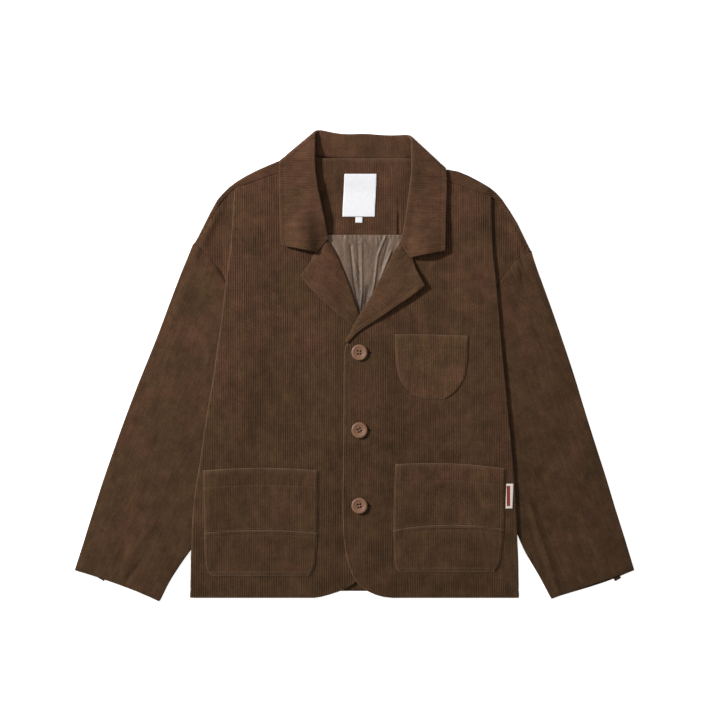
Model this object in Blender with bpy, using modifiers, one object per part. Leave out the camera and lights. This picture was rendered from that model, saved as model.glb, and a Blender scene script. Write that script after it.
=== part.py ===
"""Corduroy jacket, laid flat with its front up.

Metres, +Z up, +X towards the wearer's left, +Y towards the collar. The sizes below are millimetres.
The back and the sleeves lie on the surface. Each front lies on them, folds under at its side and
makes a tuck at the armhole. The back comes forward over the shoulders to the shoulder seams. The
left front laps over the right one. Every wall is given by its middle surface and its thickness.
"""

import math

import bpy
import bmesh
import numpy as np

MM = 0.001

# Thickness of the cloths and the least air between two layers.
WALL = 1.8
SATIN = 1.0
LABEL = 1.0
THIN_LAP = 1.0
LAPEL_WALL = 2.4
AIR = 0.5
POCKET_AIR = 0.8

# Heights of the middle surfaces, from the surface the jacket lies on.
BACK_LEVEL = WALL / 2
FRONT_LEVEL = 5.9
TURN = 1.25                 # radius of a turned edge, between two layers of one cloth
SLEEVE_STEP = 2.5           # how far a sleeve is lifted where it lies on the back
FRONT_RISE = 4.9            # how far the front rises over a sleeve and the armhole tuck
RAMP = 60.0                 # width over which it rises
LAP_STEP = 2.3              # the left front over the right one
TUCK_DEPTH = 22.0
LEAST_TURN = 1.1            # least radius of a turned edge

HEM_Y = -346.0
TOP_COLUMNS = 12            # points across the top layer of a front
BUTTON_DIAMETER = 25.0
BUTTON_HEIGHT = 3.6
BUTTON_X = 6.5
BUTTON_ROWS = {"top": 21.0, "middle": -95.0, "bottom": -208.0}


def table(names, *rows):
    """Named columns from a short list of rows."""
    return dict(zip(names.split(), np.array(rows, float).T))


# Sides of the body: where the fronts fold under, and the inner edge of the sleeve beneath them.
BODY = table(
    "y right_fold left_fold right_under left_under",
    (-346, -246, 246, -290, 291),
    (-300, -245, 244.5, -262, 266),
    (-270, -244, 244, -246, 250),
    (-221, -242, 242, -224, 230),
    (-175, -237, 239.5, -209, 214),
    (-121, -228, 235, -192, 198),
    (-71, -221, 230, -178, 186),
    (-20, -212, 225, -166, 177),
    (71, -199, 217, -168, 188),
    (130, -192, 212, -165, 186),
    (162, -188, 208, -162, 182),
    (194, -184, 205.5, -158, 179),
    (227, -182, 205, -155, 178),
    (250, -180.5, 205, -153, 177),
    (300, -178, 205, -150, 175))

# Share of the rise over the sleeve that each height on the body has, right and left.
RISE = table("y right left", (-346, 1, 1), (190, 1, 1), (220, 0.8, 0.74), (249, 0.6, 0.41),
             (262, 0.3, 0.05), (274, 0, 0), (300, 0, 0))

# Front edges: the right front runs on beneath the left one. Above the break, the edge keeps behind
# the roll of the lapel and then behind the neck seam. The last rows end at the shoulder seam.
FRONT_RIGHT = table(
    "y edge side",
    (-346, -60, -246), (-344.5, -50, -246), (-341, -37, -246), (-334, -17, -245.6), (-325, -2, -245.5),
    (-312, 10, -245.2), (-295, 19, -245), (-270, 26, -244), (-240, 30, -243), (-208, 31, -241),
    (-175, 31, -237), (-148, 31, -232), (-121, 31, -228), (-95, 31, -224.5), (-71, 31, -221),
    (-45, 31, -216.5), (-20, 31, -212), (2, 30, -208.8), (22, 24, -206), (47, 14, -202.5),
    (71, 5, -199), (95, -3.5, -196.5), (119, -11, -193.5), (141, -20, -190.5), (162, -29, -188),
    (184, -44, -185), (206, -52, -183.5), (228, -58, -182), (248, -63, -180.5), (264, -67, -180),
    (276.5, -71, -148), (287, -75, -117), (292, -77, -102.5))
FRONT_LEFT = table(
    "y edge side",
    (-346, 57, 246), (-344.5, 44, 246), (-341, 31, 246), (-334, 17, 245.6), (-325, 5.5, 245.5),
    (-312, -3, 245.2), (-295, -9.5, 245), (-270, -14.5, 244), (-240, -17, 242.8), (-208, -18, 241.5),
    (-175, -17.5, 239.5), (-148, -17, 237.3), (-121, -17, 235), (-95, -16.5, 232.4), (-71, -16.5, 230),
    (-45, -16, 227.4), (-20, -16, 225), (2, -15.5, 222.8), (20, -15, 221.3), (30, -14, 220.5),
    (38, -7.5, 219.7), (54, 3, 218), (71, 9, 217), (95, 25, 214.8), (119, 38, 212.6), (141, 49, 210.8),
    (162, 60, 208), (184, 76, 206.2), (206, 84, 205.2), (226, 88, 205), (246, 92, 205), (254, 94, 200.5),
    (266, 97, 168.5), (276.5, 99, 137), (280, 101, 123))

# The shoulder line, from the armhole up to the neck: the edge seen from above and the seam.
SHOULDER_RIGHT = table(
    "edge_x edge_y seam_x seam_y",
    (-241, 182, -236.4, 183), (-233, 196, -228.6, 194.5), (-224, 214, -219.2, 211.5),
    (-215, 232, -209.5, 228.5), (-205, 250, -199, 246.5), (-197, 259, -189.5, 256),
    (-188, 268, -181, 265), (-176, 277, -165, 271), (-161, 286, -148, 277), (-143, 295, -131, 283),
    (-124, 302, -113, 289), (-112, 299, -102, 293))
SHOULDER_LEFT = table(
    "edge_x edge_y seam_x seam_y",
    (266, 169, 261.5, 170.5), (257, 187, 252.4, 185.5), (244, 214, 239.2, 211.5), (233, 232, 228, 228),
    (221, 250, 214, 243), (212, 260, 204, 253), (202, 268, 192, 258), (187, 277, 173, 265),
    (170, 286, 158, 270.5), (155, 292, 143, 276), (143, 290.5, 131, 279), (132, 288, 119, 281))
NECK_SEAM_Y = 311.5

# The armhole seam below the shoulder, as it crosses the front's fold and runs on beneath it.
ARMHOLE = table("y right left", (95, -182, 203), (111, -185, 207), (128, -192.5, 216), (146, -205, 231),
                (161, -217, 249), (170, -225.5, 261), (182, -236, 256))

# Sleeves, from the cuff to the armhole: outer edge, inner edge, how far the ring bows out, and its
# share of the sleeve cap's curve.
SLEEVE_RIGHT = table(
    "outer_x outer_y inner_x inner_y bow cap",
    (-419, -305, -291.5, -352, 3.5, 0), (-409, -274, -276, -321, 2, 0), (-400, -245, -263, -296, 1, 0),
    (-377, -173, -229, -228, 0, 0), (-352, -101, -202, -160, 0, 0), (-325, -29, -186, -102, 0, 0),
    (-296, 43, -174, -58, 0, 0.08), (-269, 115, -168, -34, 0, 0.35), (-255, 151, -166, -25, 0, 0.65),
    (-242, 180, -165, -20, 0, 1))
SLEEVE_LEFT = table(
    "outer_x outer_y inner_x inner_y bow cap",
    (419, -305, 294.5, -348, 1.5, 0), (408.5, -270, 277, -315, 1, 0), (395, -227, 255, -277, 0, 0),
    (373, -155, 227, -207, 0, 0), (350, -83, 202, -142, 0, 0), (328, -11, 188, -90, 0, 0),
    (304, 61, 182, -66, 0, 0.08), (280, 128, 179, -45, 0, 0.35), (272, 150, 177, -34, 0, 0.65),
    (267, 167, 176, -24, 0, 1))
# How far the sleeve cap bows towards the neck, from its inner edge to its outer one.
CAP = table("share right left", (0, 0, 0), (0.33, 11, 9), (0.44, 18, 15.5), (0.56, 25.2, 24.4),
            (0.67, 26.7, 28.4), (0.78, 22.2, 25.8), (0.89, 14.8, 18), (1, 3, 4))

# Under laps of the cuff vents, from inside the cuff to the end that shows.
VENT_RIGHT = table("left_x left_y right_x right_y", (-377, -296, -366, -300), (-380.5, -306, -369.5, -310),
                   (-384, -316, -375, -321.5))
VENT_LEFT = table("left_x left_y right_x right_y", (384, -300, 398, -295.5), (387, -308, 402, -303),
                  (391, -319.5, 413, -312.5))

# Lapels, from the gorge seam down to the break: roll edge and free edge.
LAPEL_RIGHT = table(
    "roll_x roll_y edge_x edge_y",
    (-37.2, 188.8, -55.2, 169.6), (-33.5, 180, -66, 156), (-28, 171, -80.5, 136), (-21, 157, -70, 120.5),
    (-14, 141, -56, 107.5), (-5.5, 119, -38, 90.5), (1.5, 97, -20.5, 72.5), (7.4, 80.5, -4.8, 56.5))
LAPEL_LEFT = table(
    "roll_x roll_y edge_x edge_y",
    (65, 182.5, 82.2, 161.5), (61.5, 176, 92, 145.5), (56, 166, 105.5, 121), (43, 140, 86, 105),
    (32, 119, 66, 92), (20, 97, 44, 77), (8, 79, 24, 63.5), (-2, 58, 6, 50), (-12.6, 37, -9, 32.5))

# Collar, from its front end up to the neck corner: roll edge and free edge.
COLLAR_RIGHT = table("y roll edge", (190, -38, -109), (200, -40.5, -110.5), (224, -45, -112),
                     (265, -54, -113), (290, -57.5, -113), (305, -58.5, -113))
COLLAR_LEFT = table("y roll edge", (184, 66.5, 135.5), (200, 72, 136), (224, 76, 136.5),
                    (265, 81.5, 138), (290, 84.5, 138), (305, 84.5, 137.5))
# The front end of the collar: share of the way from the roll to the free edge, and height.
COLLAR_END_RIGHT = table("share y", (0, 190), (0.26, 170.5), (1, 181))
COLLAR_END_LEFT = table("share y", (0, 184), (0.25, 162.5), (0.6, 167.5), (1, 173))
# The neck corner, where the collar turns to the back: a point of the crease and its direction.
CORNER_RIGHT = {"x": -56.0, "y": 345.5, "angle": 40.8}
CORNER_LEFT = {"x": 76.3, "y": 344.9, "angle": 42.8}
COLLAR_TOP_Y = 348.5
COLLAR_MIDDLE_X = 12.0
STAND_WIDTH = 35.0
FALL_WIDTH = 53.0

# Patch pockets, from the bottom up: left and right side of each row.
POCKET_RIGHT = table("y left right", (-313.5, -211, -69), (-311, -216, -64.5), (-305, -220.5, -60.5),
                     (-296, -223, -57.5), (-270, -224.5, -55), (-251, -225, -54), (-225, -225, -54),
                     (-200, -225.5, -54), (-175, -226, -54), (-156, -226, -54))
POCKET_LEFT = table("y left right", (-308, 69, 208), (-305.5, 64.5, 212.5), (-300, 61, 216.5),
                    (-291, 59.5, 219.5), (-266, 58.5, 223), (-246, 58, 224), (-220, 58.5, 225),
                    (-195, 59, 225.5), (-170, 60, 226), (-152, 61, 226.5))
POCKET_RIGHT_SEAM = {"left": -248.0, "middle": -244.0, "right": -248.0}
POCKET_LEFT_SEAM = {"left": -244.0, "middle": -236.0, "right": -243.0}
POCKET_CHEST = table("y left right", (-49, 108, 127), (-47, 98, 138), (-43, 88, 146), (-36, 79, 153.5),
                     (-25, 70, 161), (-10, 64, 167.5), (8, 61.5, 170), (28, 60.5, 171), (46.5, 60, 171.5))

# The inside of the back, seen between the lapels, and the labels: left and right side of each row.
BACK_LINING = table("y left right", (64, -4, 26), (80, -9, 31), (100, -17, 38), (120, -24, 46),
                    (142, -33, 58), (166, -42, 70), (194.5, -52, 82))
NECK_FACING = table("y left right", (196, -55, 80), (215, -58, 86), (235, -61, 90), (255, -64, 94),
                    (274, -66, 97), (288, -68, 99), (300, -70, 100), (311.4, -72, 101))
NECK_LABEL = table("y left right", (224, -18, 30.5), (240, -17.5, 31), (256, -16.5, 32),
                   (272, -15.7, 32.7), (288, -15, 33))
SIZE_TAB = table("y left right", (215, 1.5, 12), (223.5, 1.5, 12))
SIDE_LABEL = table("y left right", (-212, 225.6, 236), (-200, 226, 236.5), (-187, 226.4, 237),
                   (-175, 226.8, 237.3))

# Soft ridges (up) and troughs (down) pressed into the cloths: ends, half width and height.
FRONT_CREASES = table(
    "x0 y0 x1 y1 width height",
    (-5, -118, 40, -117, 9, -0.3), (-5, -104, 60, -101, 14, 0.6),
    (-150, 180, -95, 60, 26, 0.8), (-120, 90, -60, -60, 30, -0.7),
    (150, 190, 110, 90, 26, 0.8), (190, 60, 150, -60, 30, -0.6),
    (-200, -60, -150, -140, 24, 0.7), (45, 20, 40, -140, 20, 0.5),
    (-35, -60, -45, -300, 22, 0.5), (-160, -325, -120, -250, 18, 0.6),
    (150, -325, 175, -240, 20, 0.6), (215, -20, 222, -140, 14, 0.7))
SLEEVE_CREASES = table(
    "x0 y0 x1 y1 width height",
    (-211, 217, -229, 180, 9, 0.9), (-229, 180, -262, 90, 14, 1.0),
    (-246, 140, -215, 60, 12, -0.9), (-268, -176, -318, -182, 9, -1.0),
    (-272, -160, -340, -170, 12, 0.8), (-298, -233, -350, -302, 9, 1.1),
    (-322, -225, -372, -300, 10, -0.9), (-300, 30, -262, -90, 16, 0.8),
    (-330, -60, -290, -140, 16, -0.8), (-262, 0, -232, -110, 13, 0.7),
    (233, 217, 250, 180, 9, 0.9), (252, 175, 285, 90, 14, 1.0),
    (262, 140, 238, 50, 12, -0.9), (248, -173, 262, -208, 7, 1.0),
    (262, -208, 304, -335, 8, 1.2), (284, -190, 330, -320, 12, -0.9),
    (300, 20, 270, -110, 16, 0.8), (335, -60, 290, -150, 14, -0.8),
    (352, -120, 300, -170, 12, 0.7), (345, -220, 372, -300, 12, 0.8))
LINING_CREASES = table(
    "x0 y0 x1 y1 width height",
    (-2, 195, 2, 90, 4, 0.9), (11, 195, 8, 95, 5, 1.2), (33, 195, 20, 110, 6, 1.0),
    (50, 195, 34, 140, 5, 0.8), (-22, 195, -10, 140, 5, 0.9))

# Colours from the cloth under soft light, as linear values.
CORDUROY = (0.082, 0.044, 0.025, 1.0)
FACING = (0.075, 0.041, 0.025, 1.0)
LINING = (0.130, 0.088, 0.060, 1.0)
WHITE = (0.85, 0.86, 0.88, 1.0)
CREAM = (0.75, 0.62, 0.50, 1.0)
HORN = (0.205, 0.118, 0.073, 1.0)


# ---------------------------------------------------------------- curves and heights

def step(t):
    """Smooth step from 0 to 1."""
    t = np.clip(t, 0.0, 1.0)
    return t * t * (3.0 - 2.0 * t)


def curve(at, xs, ys):
    """Smooth curve through the rows: cubic pieces whose slopes come from the neighbouring rows."""
    at = np.asarray(at, float)
    slope = np.gradient(ys, xs)
    i = np.clip(np.searchsorted(xs, at) - 1, 0, len(xs) - 2)
    h = xs[i + 1] - xs[i]
    t = np.clip((at - xs[i]) / h, 0.0, 1.0)
    return ((2 * t**3 - 3 * t**2 + 1) * ys[i] + (t**3 - 2 * t**2 + t) * h * slope[i]
            + (3 * t**2 - 2 * t**3) * ys[i + 1] + (t**3 - t**2) * h * slope[i + 1])


def by_side(x, y, columns, suffix=""):
    """A table's right or left column at height y, for the side that each point is on."""
    right = np.interp(y, columns["y"], columns["right" + suffix])
    left = np.interp(y, columns["y"], columns["left" + suffix])
    return np.where(np.asarray(x) < 0, right, left)


def creases(x, y, rows):
    """Sum of soft ridges: each falls off as a bell across its line and towards both ends."""
    x, y = np.broadcast_arrays(np.asarray(x, float), np.asarray(y, float))
    total = np.zeros(x.shape)
    for x0, y0, x1, y1, width, height in zip(*rows.values()):
        length = math.hypot(x1 - x0, y1 - y0)
        ux, uy = (x1 - x0) / length, (y1 - y0) / length
        along = (x - x0) * ux + (y - y0) * uy
        across = (x - x0) * uy - (y - y0) * ux
        past = np.maximum(0.0, np.maximum(-along, along - length))
        total += height * np.exp(-(across**2 + past**2) / width**2)
    return total


def front_rise(x, y):
    """Height that the fronts gain over the sleeves and the armhole tucks."""
    under = np.abs(by_side(x, y, BODY, "_under"))
    return FRONT_RISE * by_side(x, y, RISE) * step((np.abs(x) - under + RAMP) / RAMP)


def front_right_z(x, y):
    """Middle surface of the right front."""
    settled = step((-20 - np.asarray(x)) / 40)
    return FRONT_LEVEL + front_rise(x, y) + settled * creases(x, y, FRONT_CREASES)


def front_left_z(x, y):
    """Middle surface of the left front, lifted where it lies on the right one."""
    lap = LAP_STEP * (1 - step((np.asarray(x) - 34) / 46))
    return FRONT_LEVEL + lap + front_rise(x, y) + creases(x, y, FRONT_CREASES)


def back_z(x, y):
    """Middle surface of the back: flat, and lifted at the neck over the collar's fall."""
    window = step((x + 138) / 20) * step((163 - x) / 20)
    return BACK_LEVEL + SLEEVE_STEP * window * step((y - 258) / 30)


def sleeve_low_z(x, y):
    """Middle surface of a sleeve's lower wall: on the surface, or lifted on the edge of the back."""
    edge = np.abs(by_side(x, y, BODY, "_fold")) - 4
    seam = np.abs(by_side(x, y, ARMHOLE))
    edge = np.where(y > 128, np.maximum(edge, seam), edge)
    return BACK_LEVEL + SLEEVE_STEP * step((edge + 34 - np.abs(x)) / 30)


def sleeve_gap(x, y, across):
    """Air inside a sleeve: least beneath the body, most along the middle of what is free."""
    fold = np.abs(by_side(x, y, BODY, "_fold"))
    free = step((np.abs(x) - fold - 4) / 26)
    puff = 1.9 * (1 - (2 * across - 1)**4) + creases(x, y, SLEEVE_CREASES)
    return 0.7 + np.clip(free * puff, -0.05, 3.1)


def normals(points, towards):
    """Unit vectors square to a line of points, on the side that towards points to."""
    along = np.gradient(points, axis=0)
    square = np.stack([-along[:, 1], along[:, 0]], -1)
    square /= np.linalg.norm(square, axis=1)[:, None]
    return square * np.sign(np.sum(square * towards, axis=1))[:, None]


# ---------------------------------------------------------------- making the pieces

def new_collection(name):
    collection = bpy.data.collections.new(name)
    bpy.context.scene.collection.children.link(collection)
    return collection


def material(name, colour, roughness, metallic=0.0):
    made = bpy.data.materials.new(name)
    made.use_nodes = True
    shader = made.node_tree.nodes["Principled BSDF"]
    shader.inputs["Base Color"].default_value = colour
    shader.inputs["Roughness"].default_value = roughness
    shader.inputs["Metallic"].default_value = metallic
    made.diffuse_color = colour
    return made


def add_object(name, mesh, collection, finish):
    made = bpy.data.objects.new(name, mesh)
    made.data.materials.append(finish)
    collection.objects.link(made)
    return made


def cloth(name, points, wall, collection, finish, keep=None, ring=False):
    """A cloth piece: quads over a grid of points on its middle surface, thickened by Solidify.

    keep marks the cells of the grid that are cloth, and ring joins its last column to its first.
    """
    rows, columns = points.shape[:2]
    index = np.arange(rows * columns).reshape(rows, columns)
    if ring:
        index = np.hstack([index, index[:, :1]])
    cells = np.stack([index[:-1, :-1], index[:-1, 1:], index[1:, 1:], index[1:, :-1]], axis=-1)
    cells = cells[keep] if keep is not None else cells.reshape(-1, 4)
    used, cells = np.unique(cells, return_inverse=True)
    mesh = bpy.data.meshes.new(name)
    mesh.from_pydata((points.reshape(-1, 3)[used] * MM).tolist(), [], cells.reshape(-1, 4).tolist())
    mesh.update()
    mesh.shade_smooth()
    made = add_object(name, mesh, collection, finish)
    solid = made.modifiers.new("wall", "SOLIDIFY")
    solid.thickness = wall * MM
    solid.offset = 0.0
    return made


def grid(x, y, z):
    """Points of a panel from its coordinates."""
    return np.stack(np.broadcast_arrays(x, y, z), axis=-1).astype(float)


def across(columns, count):
    """Rows of a panel: x runs from its left column to its right one in even steps."""
    share = np.linspace(0, 1, count)
    return columns[0][:, None] * (1 - share) + columns[1][:, None] * share


def make_front(name, rows, z_at, side, collection, finish):
    """A front panel: its top layer, the turn at the side, the layer under it and the tuck.

    Across a row the wall runs from the front edge to the side, round a half circle, back inward,
    and, above the underarm, round a second half circle and out to the armhole seam.
    """
    y = rows["y"][:, None]
    reach = rows["side"] - side * (WALL / 2 + TURN)
    top_x = across((rows["edge"], reach), TOP_COLUMNS)
    top_z = z_at(top_x, y)
    angle = np.radians([45, 90, 135])
    turn_x = reach[:, None] + side * TURN * np.sin(angle)
    turn_z = z_at(reach[:, None], y) - TURN * (1 - np.cos(angle))
    under_x = reach[:, None] - side * np.array([0, 0.5, 1]) * TUCK_DEPTH
    under_z = z_at(under_x, y) - 2 * TURN
    back_x = under_x[:, -1:] - side * TURN * np.sin(angle)
    behind_z = under_z[:, -1:] - TURN * (1 - np.cos(angle))
    # The tuck's lowest layer ends at the armhole seam, or at the shoulder seam above it.
    shoulder = SHOULDER_RIGHT if side < 0 else SHOULDER_LEFT
    seam = np.interp(rows["y"], shoulder["seam_y"], shoulder["seam_x"])
    armhole = np.interp(rows["y"], ARMHOLE["y"], ARMHOLE["right" if side < 0 else "left"])
    end = side * np.where(rows["y"] > shoulder["seam_y"][0], np.abs(seam), np.abs(armhole)) - side * 0.6
    out_x = across((under_x[:, -1], end), 5)
    out_z = np.broadcast_to(under_z[:, -1:] - 2 * TURN, out_x.shape)
    points = grid(np.hstack([top_x, turn_x, under_x, back_x, out_x]), y,
                  np.hstack([top_z, turn_z, under_z, behind_z, out_z]))
    keep = np.ones((len(rows["y"]) - 1, points.shape[1] - 1), bool)
    folded = rows["y"][1:] < np.max(shoulder["seam_y"][shoulder["seam_y"] < 257]) - 3
    tucked = folded & (rows["y"][:-1] > 90)
    keep[~folded, TOP_COLUMNS - 1:] = False
    keep[~tucked, TOP_COLUMNS + 5:] = False
    return cloth(name, points, WALL, collection, finish, keep)


def make_back(collection, finish):
    """The back: flat rows up to the armholes, then rows that fan out to the shoulder line and
    the neck, a half circle over each shoulder, and the band down to the shoulder seam."""
    right, left = SHOULDER_RIGHT, SHOULDER_LEFT
    neck = grid(np.array([-84.0, -60, -36, -12, 12, 36, 60, 84, 106]), NECK_SEAM_Y, 0)[:, :2]
    edge = np.vstack([np.c_[right["edge_x"], right["edge_y"]], neck,
                      np.c_[left["edge_x"], left["edge_y"]][::-1]])
    seam = np.vstack([np.c_[right["seam_x"], right["seam_y"]], neck - [0, 1],
                      np.c_[left["seam_x"], left["seam_y"]][::-1]])
    at_neck = np.zeros(len(edge), bool)
    at_neck[len(right["edge_x"]):-len(left["edge_x"])] = True
    inward = normals(edge, seam - edge)

    # Height of the band: the level of the front beside it.
    over_x, over_y = seam[:, 0], seam[:, 1]
    over = FRONT_LEVEL + front_rise(over_x, over_y)
    corner = np.abs(over_x) > np.where(over_x < 0, 182, 203)
    low = back_z(edge[:, 0], edge[:, 1])
    over = np.where(corner, np.maximum(tuck_level(over_x, over_y), low + 2 * LEAST_TURN), over)
    radius = (over - low) / 2
    start = edge + inward * np.where(at_neck, 0, radius + WALL / 2)[:, None]

    count = len(edge)
    base_y = 122.0
    share = np.linspace(0, 1, count)
    rows = []
    for y in (HEM_Y, -221, -121, -20, 60, base_y):
        ends = [by_side(np.array(s), y, BODY, "_fold") - s * 4 for s in (-1.0, 1.0)]
        x = ends[0] * (1 - share) + ends[1] * share
        rows.append(grid(x, y, back_z(x, np.full(count, float(y)))))
    base = rows[-1][:, :2]
    for t in (0.3, 0.55, 0.75, 0.88, 1.0):
        xy = base * (1 - t) + start * t
        rows.append(grid(xy[:, 0], xy[:, 1], back_z(xy[:, 0], xy[:, 1])))
    rows[-1][:, 2] = low
    lower = len(rows)
    for angle in np.radians([45, 90, 135, 180]):
        xy = start - inward * (radius * np.sin(angle))[:, None]
        rows.append(grid(xy[:, 0], xy[:, 1], low + radius * (1 - np.cos(angle))))
    length = np.linalg.norm(seam - start, axis=1)
    xy = start + (seam - start) * (np.maximum(length - 0.4, 0.3) / length)[:, None]
    rows.append(grid(xy[:, 0], xy[:, 1], over))
    points = np.array(rows)
    keep = np.ones((len(rows) - 1, count - 1), bool)
    keep[lower - 1:, at_neck[:-1] | at_neck[1:]] = False
    return cloth("back", points, WALL, collection, finish, keep)


def tuck_level(x, y):
    """Middle surface of the tuck's lowest layer, beside the band of the back."""
    inner = np.where(np.asarray(x) < 0, np.interp(y, BODY["y"], BODY["right_fold"]) + TUCK_DEPTH + 2,
                     np.interp(y, BODY["y"], BODY["left_fold"]) - TUCK_DEPTH - 2)
    return FRONT_LEVEL + front_rise(inner, y) - 4 * TURN


def make_sleeve(name, rows, side, collection, finish):
    """A flattened tube: rings from the cuff to the armhole, each a lower wall, a half circle at the
    outer edge, an upper wall and a half circle at the inner edge."""
    stations = np.arange(len(rows["bow"]), dtype=float)
    cap = CAP["right" if side < 0 else "left"]
    at = np.concatenate([np.linspace(0, 1, 4)[:-1], np.linspace(1, len(stations) - 1, 17)])
    value = {k: curve(at, stations, rows[k])[:, None] for k in rows}
    outer = np.hstack([value["outer_x"], value["outer_y"]])
    inner = np.hstack([value["inner_x"], value["inner_y"]])
    along = (outer - inner) / np.linalg.norm(outer - inner, axis=1)[:, None]
    normal = np.stack([-along[:, 1], along[:, 0]], -1) * side
    outward = {1.0: normals(outer, along), 0.0: normals(inner, -along)}
    inset = {end: (WALL / 2 + TURN) / np.abs(np.sum(out * along, axis=1))[:, None]
             for end, out in outward.items()}
    first, last = inner + along * inset[0.0], outer - along * inset[1.0]

    def place(share):
        """Points at shares of the way from the inner edge to the outer one, bowed towards the neck."""
        share = np.asarray(share)[None, :]
        bow = value["bow"] * 4 * share * (1 - share) + value["cap"] * np.interp(share, CAP["share"], cap)
        straight = first[:, None] * (1 - share[..., None]) + last[:, None] * share[..., None]
        return straight + normal[:, None] * bow[..., None]

    def walls(xy, share):
        low = sleeve_low_z(xy[..., 0], xy[..., 1])
        return low, low + WALL + sleeve_gap(xy[..., 0], xy[..., 1], share)

    lower_share, upper_share = np.linspace(0, 1, 5), np.linspace(1, 0, 10)
    lower, upper = place(lower_share), place(upper_share)
    angle = np.radians([45, 90, 135])
    parts = [grid(lower[..., 0], lower[..., 1], walls(lower, lower_share[None, :])[0])]
    for end, order in ((1.0, 1), (0.0, -1)):
        tip = place([end])
        tip_low, tip_high = walls(tip, end)
        xy = tip + outward[end][:, None] * (TURN * np.sin(angle))[None, :, None]
        middle, half = (tip_low + tip_high) / 2, (tip_high - tip_low) / 2
        z = middle - order * half * np.cos(angle)
        parts.append(grid(xy[..., 0], xy[..., 1], z))
        if end == 1.0:
            parts.append(grid(upper[..., 0], upper[..., 1], walls(upper, upper_share[None, :])[1]))
    return cloth(name, np.hstack(parts), WALL, collection, finish, ring=True)


def make_panel(name, rows, columns, z_at, wall, collection, finish):
    """A patch from rows of left and right sides, at heights given by z_at."""
    x = across((rows["left"], rows["right"]), columns)
    y = np.broadcast_to(rows["y"][:, None], x.shape)
    return cloth(name, grid(x, y, z_at(x, y)), wall, collection, finish)


def make_vent(name, rows, collection, finish):
    """The under lap of a cuff vent: a strip inside the cuff that shows past its hem."""
    xy = np.stack([np.linspace(rows["left_" + k], rows["right_" + k], 3, axis=1) for k in "xy"], -1)
    z = sleeve_low_z(xy[..., 0], xy[..., 1]) + WALL / 2 + 0.3 + THIN_LAP / 2
    return cloth(name, grid(xy[..., 0], xy[..., 1], z), THIN_LAP, collection, finish)


def make_pocket(name, rows, seam, z_at, collection, finish):
    """A patch pocket in two pieces, joined along a seam that bows up in its middle."""
    count = 9
    share = np.linspace(0, 1, count)
    bow = 4 * share * (1 - share)
    joint = seam["left"] * (1 - share) + seam["right"] * share
    joint = joint + bow * (seam["middle"] - (seam["left"] + seam["right"]) / 2)
    split = rows["y"].searchsorted(min(seam["left"], seam["right"]) - 8)
    x = across((rows["left"], rows["right"]), count)
    y = np.broadcast_to(rows["y"][:, None], x.shape)

    def seam_row(shift):
        seam_y = joint + shift
        left = np.interp(seam_y, rows["y"], rows["left"])
        right = np.interp(seam_y, rows["y"], rows["right"])
        return left * (1 - share) + right * share, seam_y

    over = WALL + POCKET_AIR
    lower = seam_row(-0.2)
    upper = seam_row(0.2)
    top_rows = rows["y"] > max(seam["left"], seam["middle"], seam["right"]) + 6
    pieces = (("_lower", np.vstack([x[:split], lower[0]]), np.vstack([y[:split], lower[1]])),
              ("", np.vstack([upper[0], x[top_rows]]), np.vstack([upper[1], y[top_rows]])))
    for suffix, px, py in pieces:
        cloth(name + suffix, grid(px, py, z_at(px, py) + over), WALL, collection, finish)


def make_lapel(name, rows, z_at, collection, finish):
    """A lapel: from its free edge to the roll, and down round the edge of the front."""
    stations = np.arange(len(rows["roll_x"]), dtype=float)
    at = np.linspace(0, len(stations) - 1, len(stations) + 3)
    roll = np.stack([np.interp(at, stations, rows[k]) for k in ("roll_x", "roll_y")], -1)
    edge = np.stack([np.interp(at, stations, rows[k]) for k in ("edge_x", "edge_y")], -1)
    width = np.linalg.norm(roll - edge, axis=1, keepdims=True)
    out = (roll - edge) / width
    radius = 2.3
    reach = width - LAPEL_WALL / 2 - radius
    share = np.linspace(0, 1, 7)
    xy = edge[:, None] + out[:, None] * (reach * share)[..., None]
    lift = 1.2 * (1 - share)**2 + 0.8 * np.sin(np.pi * share)
    body = np.sin(np.pi * np.clip(at / at[-1], 0.06, 0.94))[:, None]
    z = z_at(xy[..., 0], xy[..., 1]) + WALL / 2 + AIR + LAPEL_WALL / 2 + lift * body
    angle = np.radians([30, 60, 90])
    turned = xy[:, -1:] + out[:, None] * (radius * np.sin(angle))[None, :, None]
    turned_z = z[:, -1:] - radius * (1 - np.cos(angle))
    points = grid(np.hstack([xy[..., 0], turned[..., 0]]), np.hstack([xy[..., 1], turned[..., 1]]),
                  np.hstack([z, turned_z]))
    return cloth(name, points, LAPEL_WALL, collection, finish)


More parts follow.
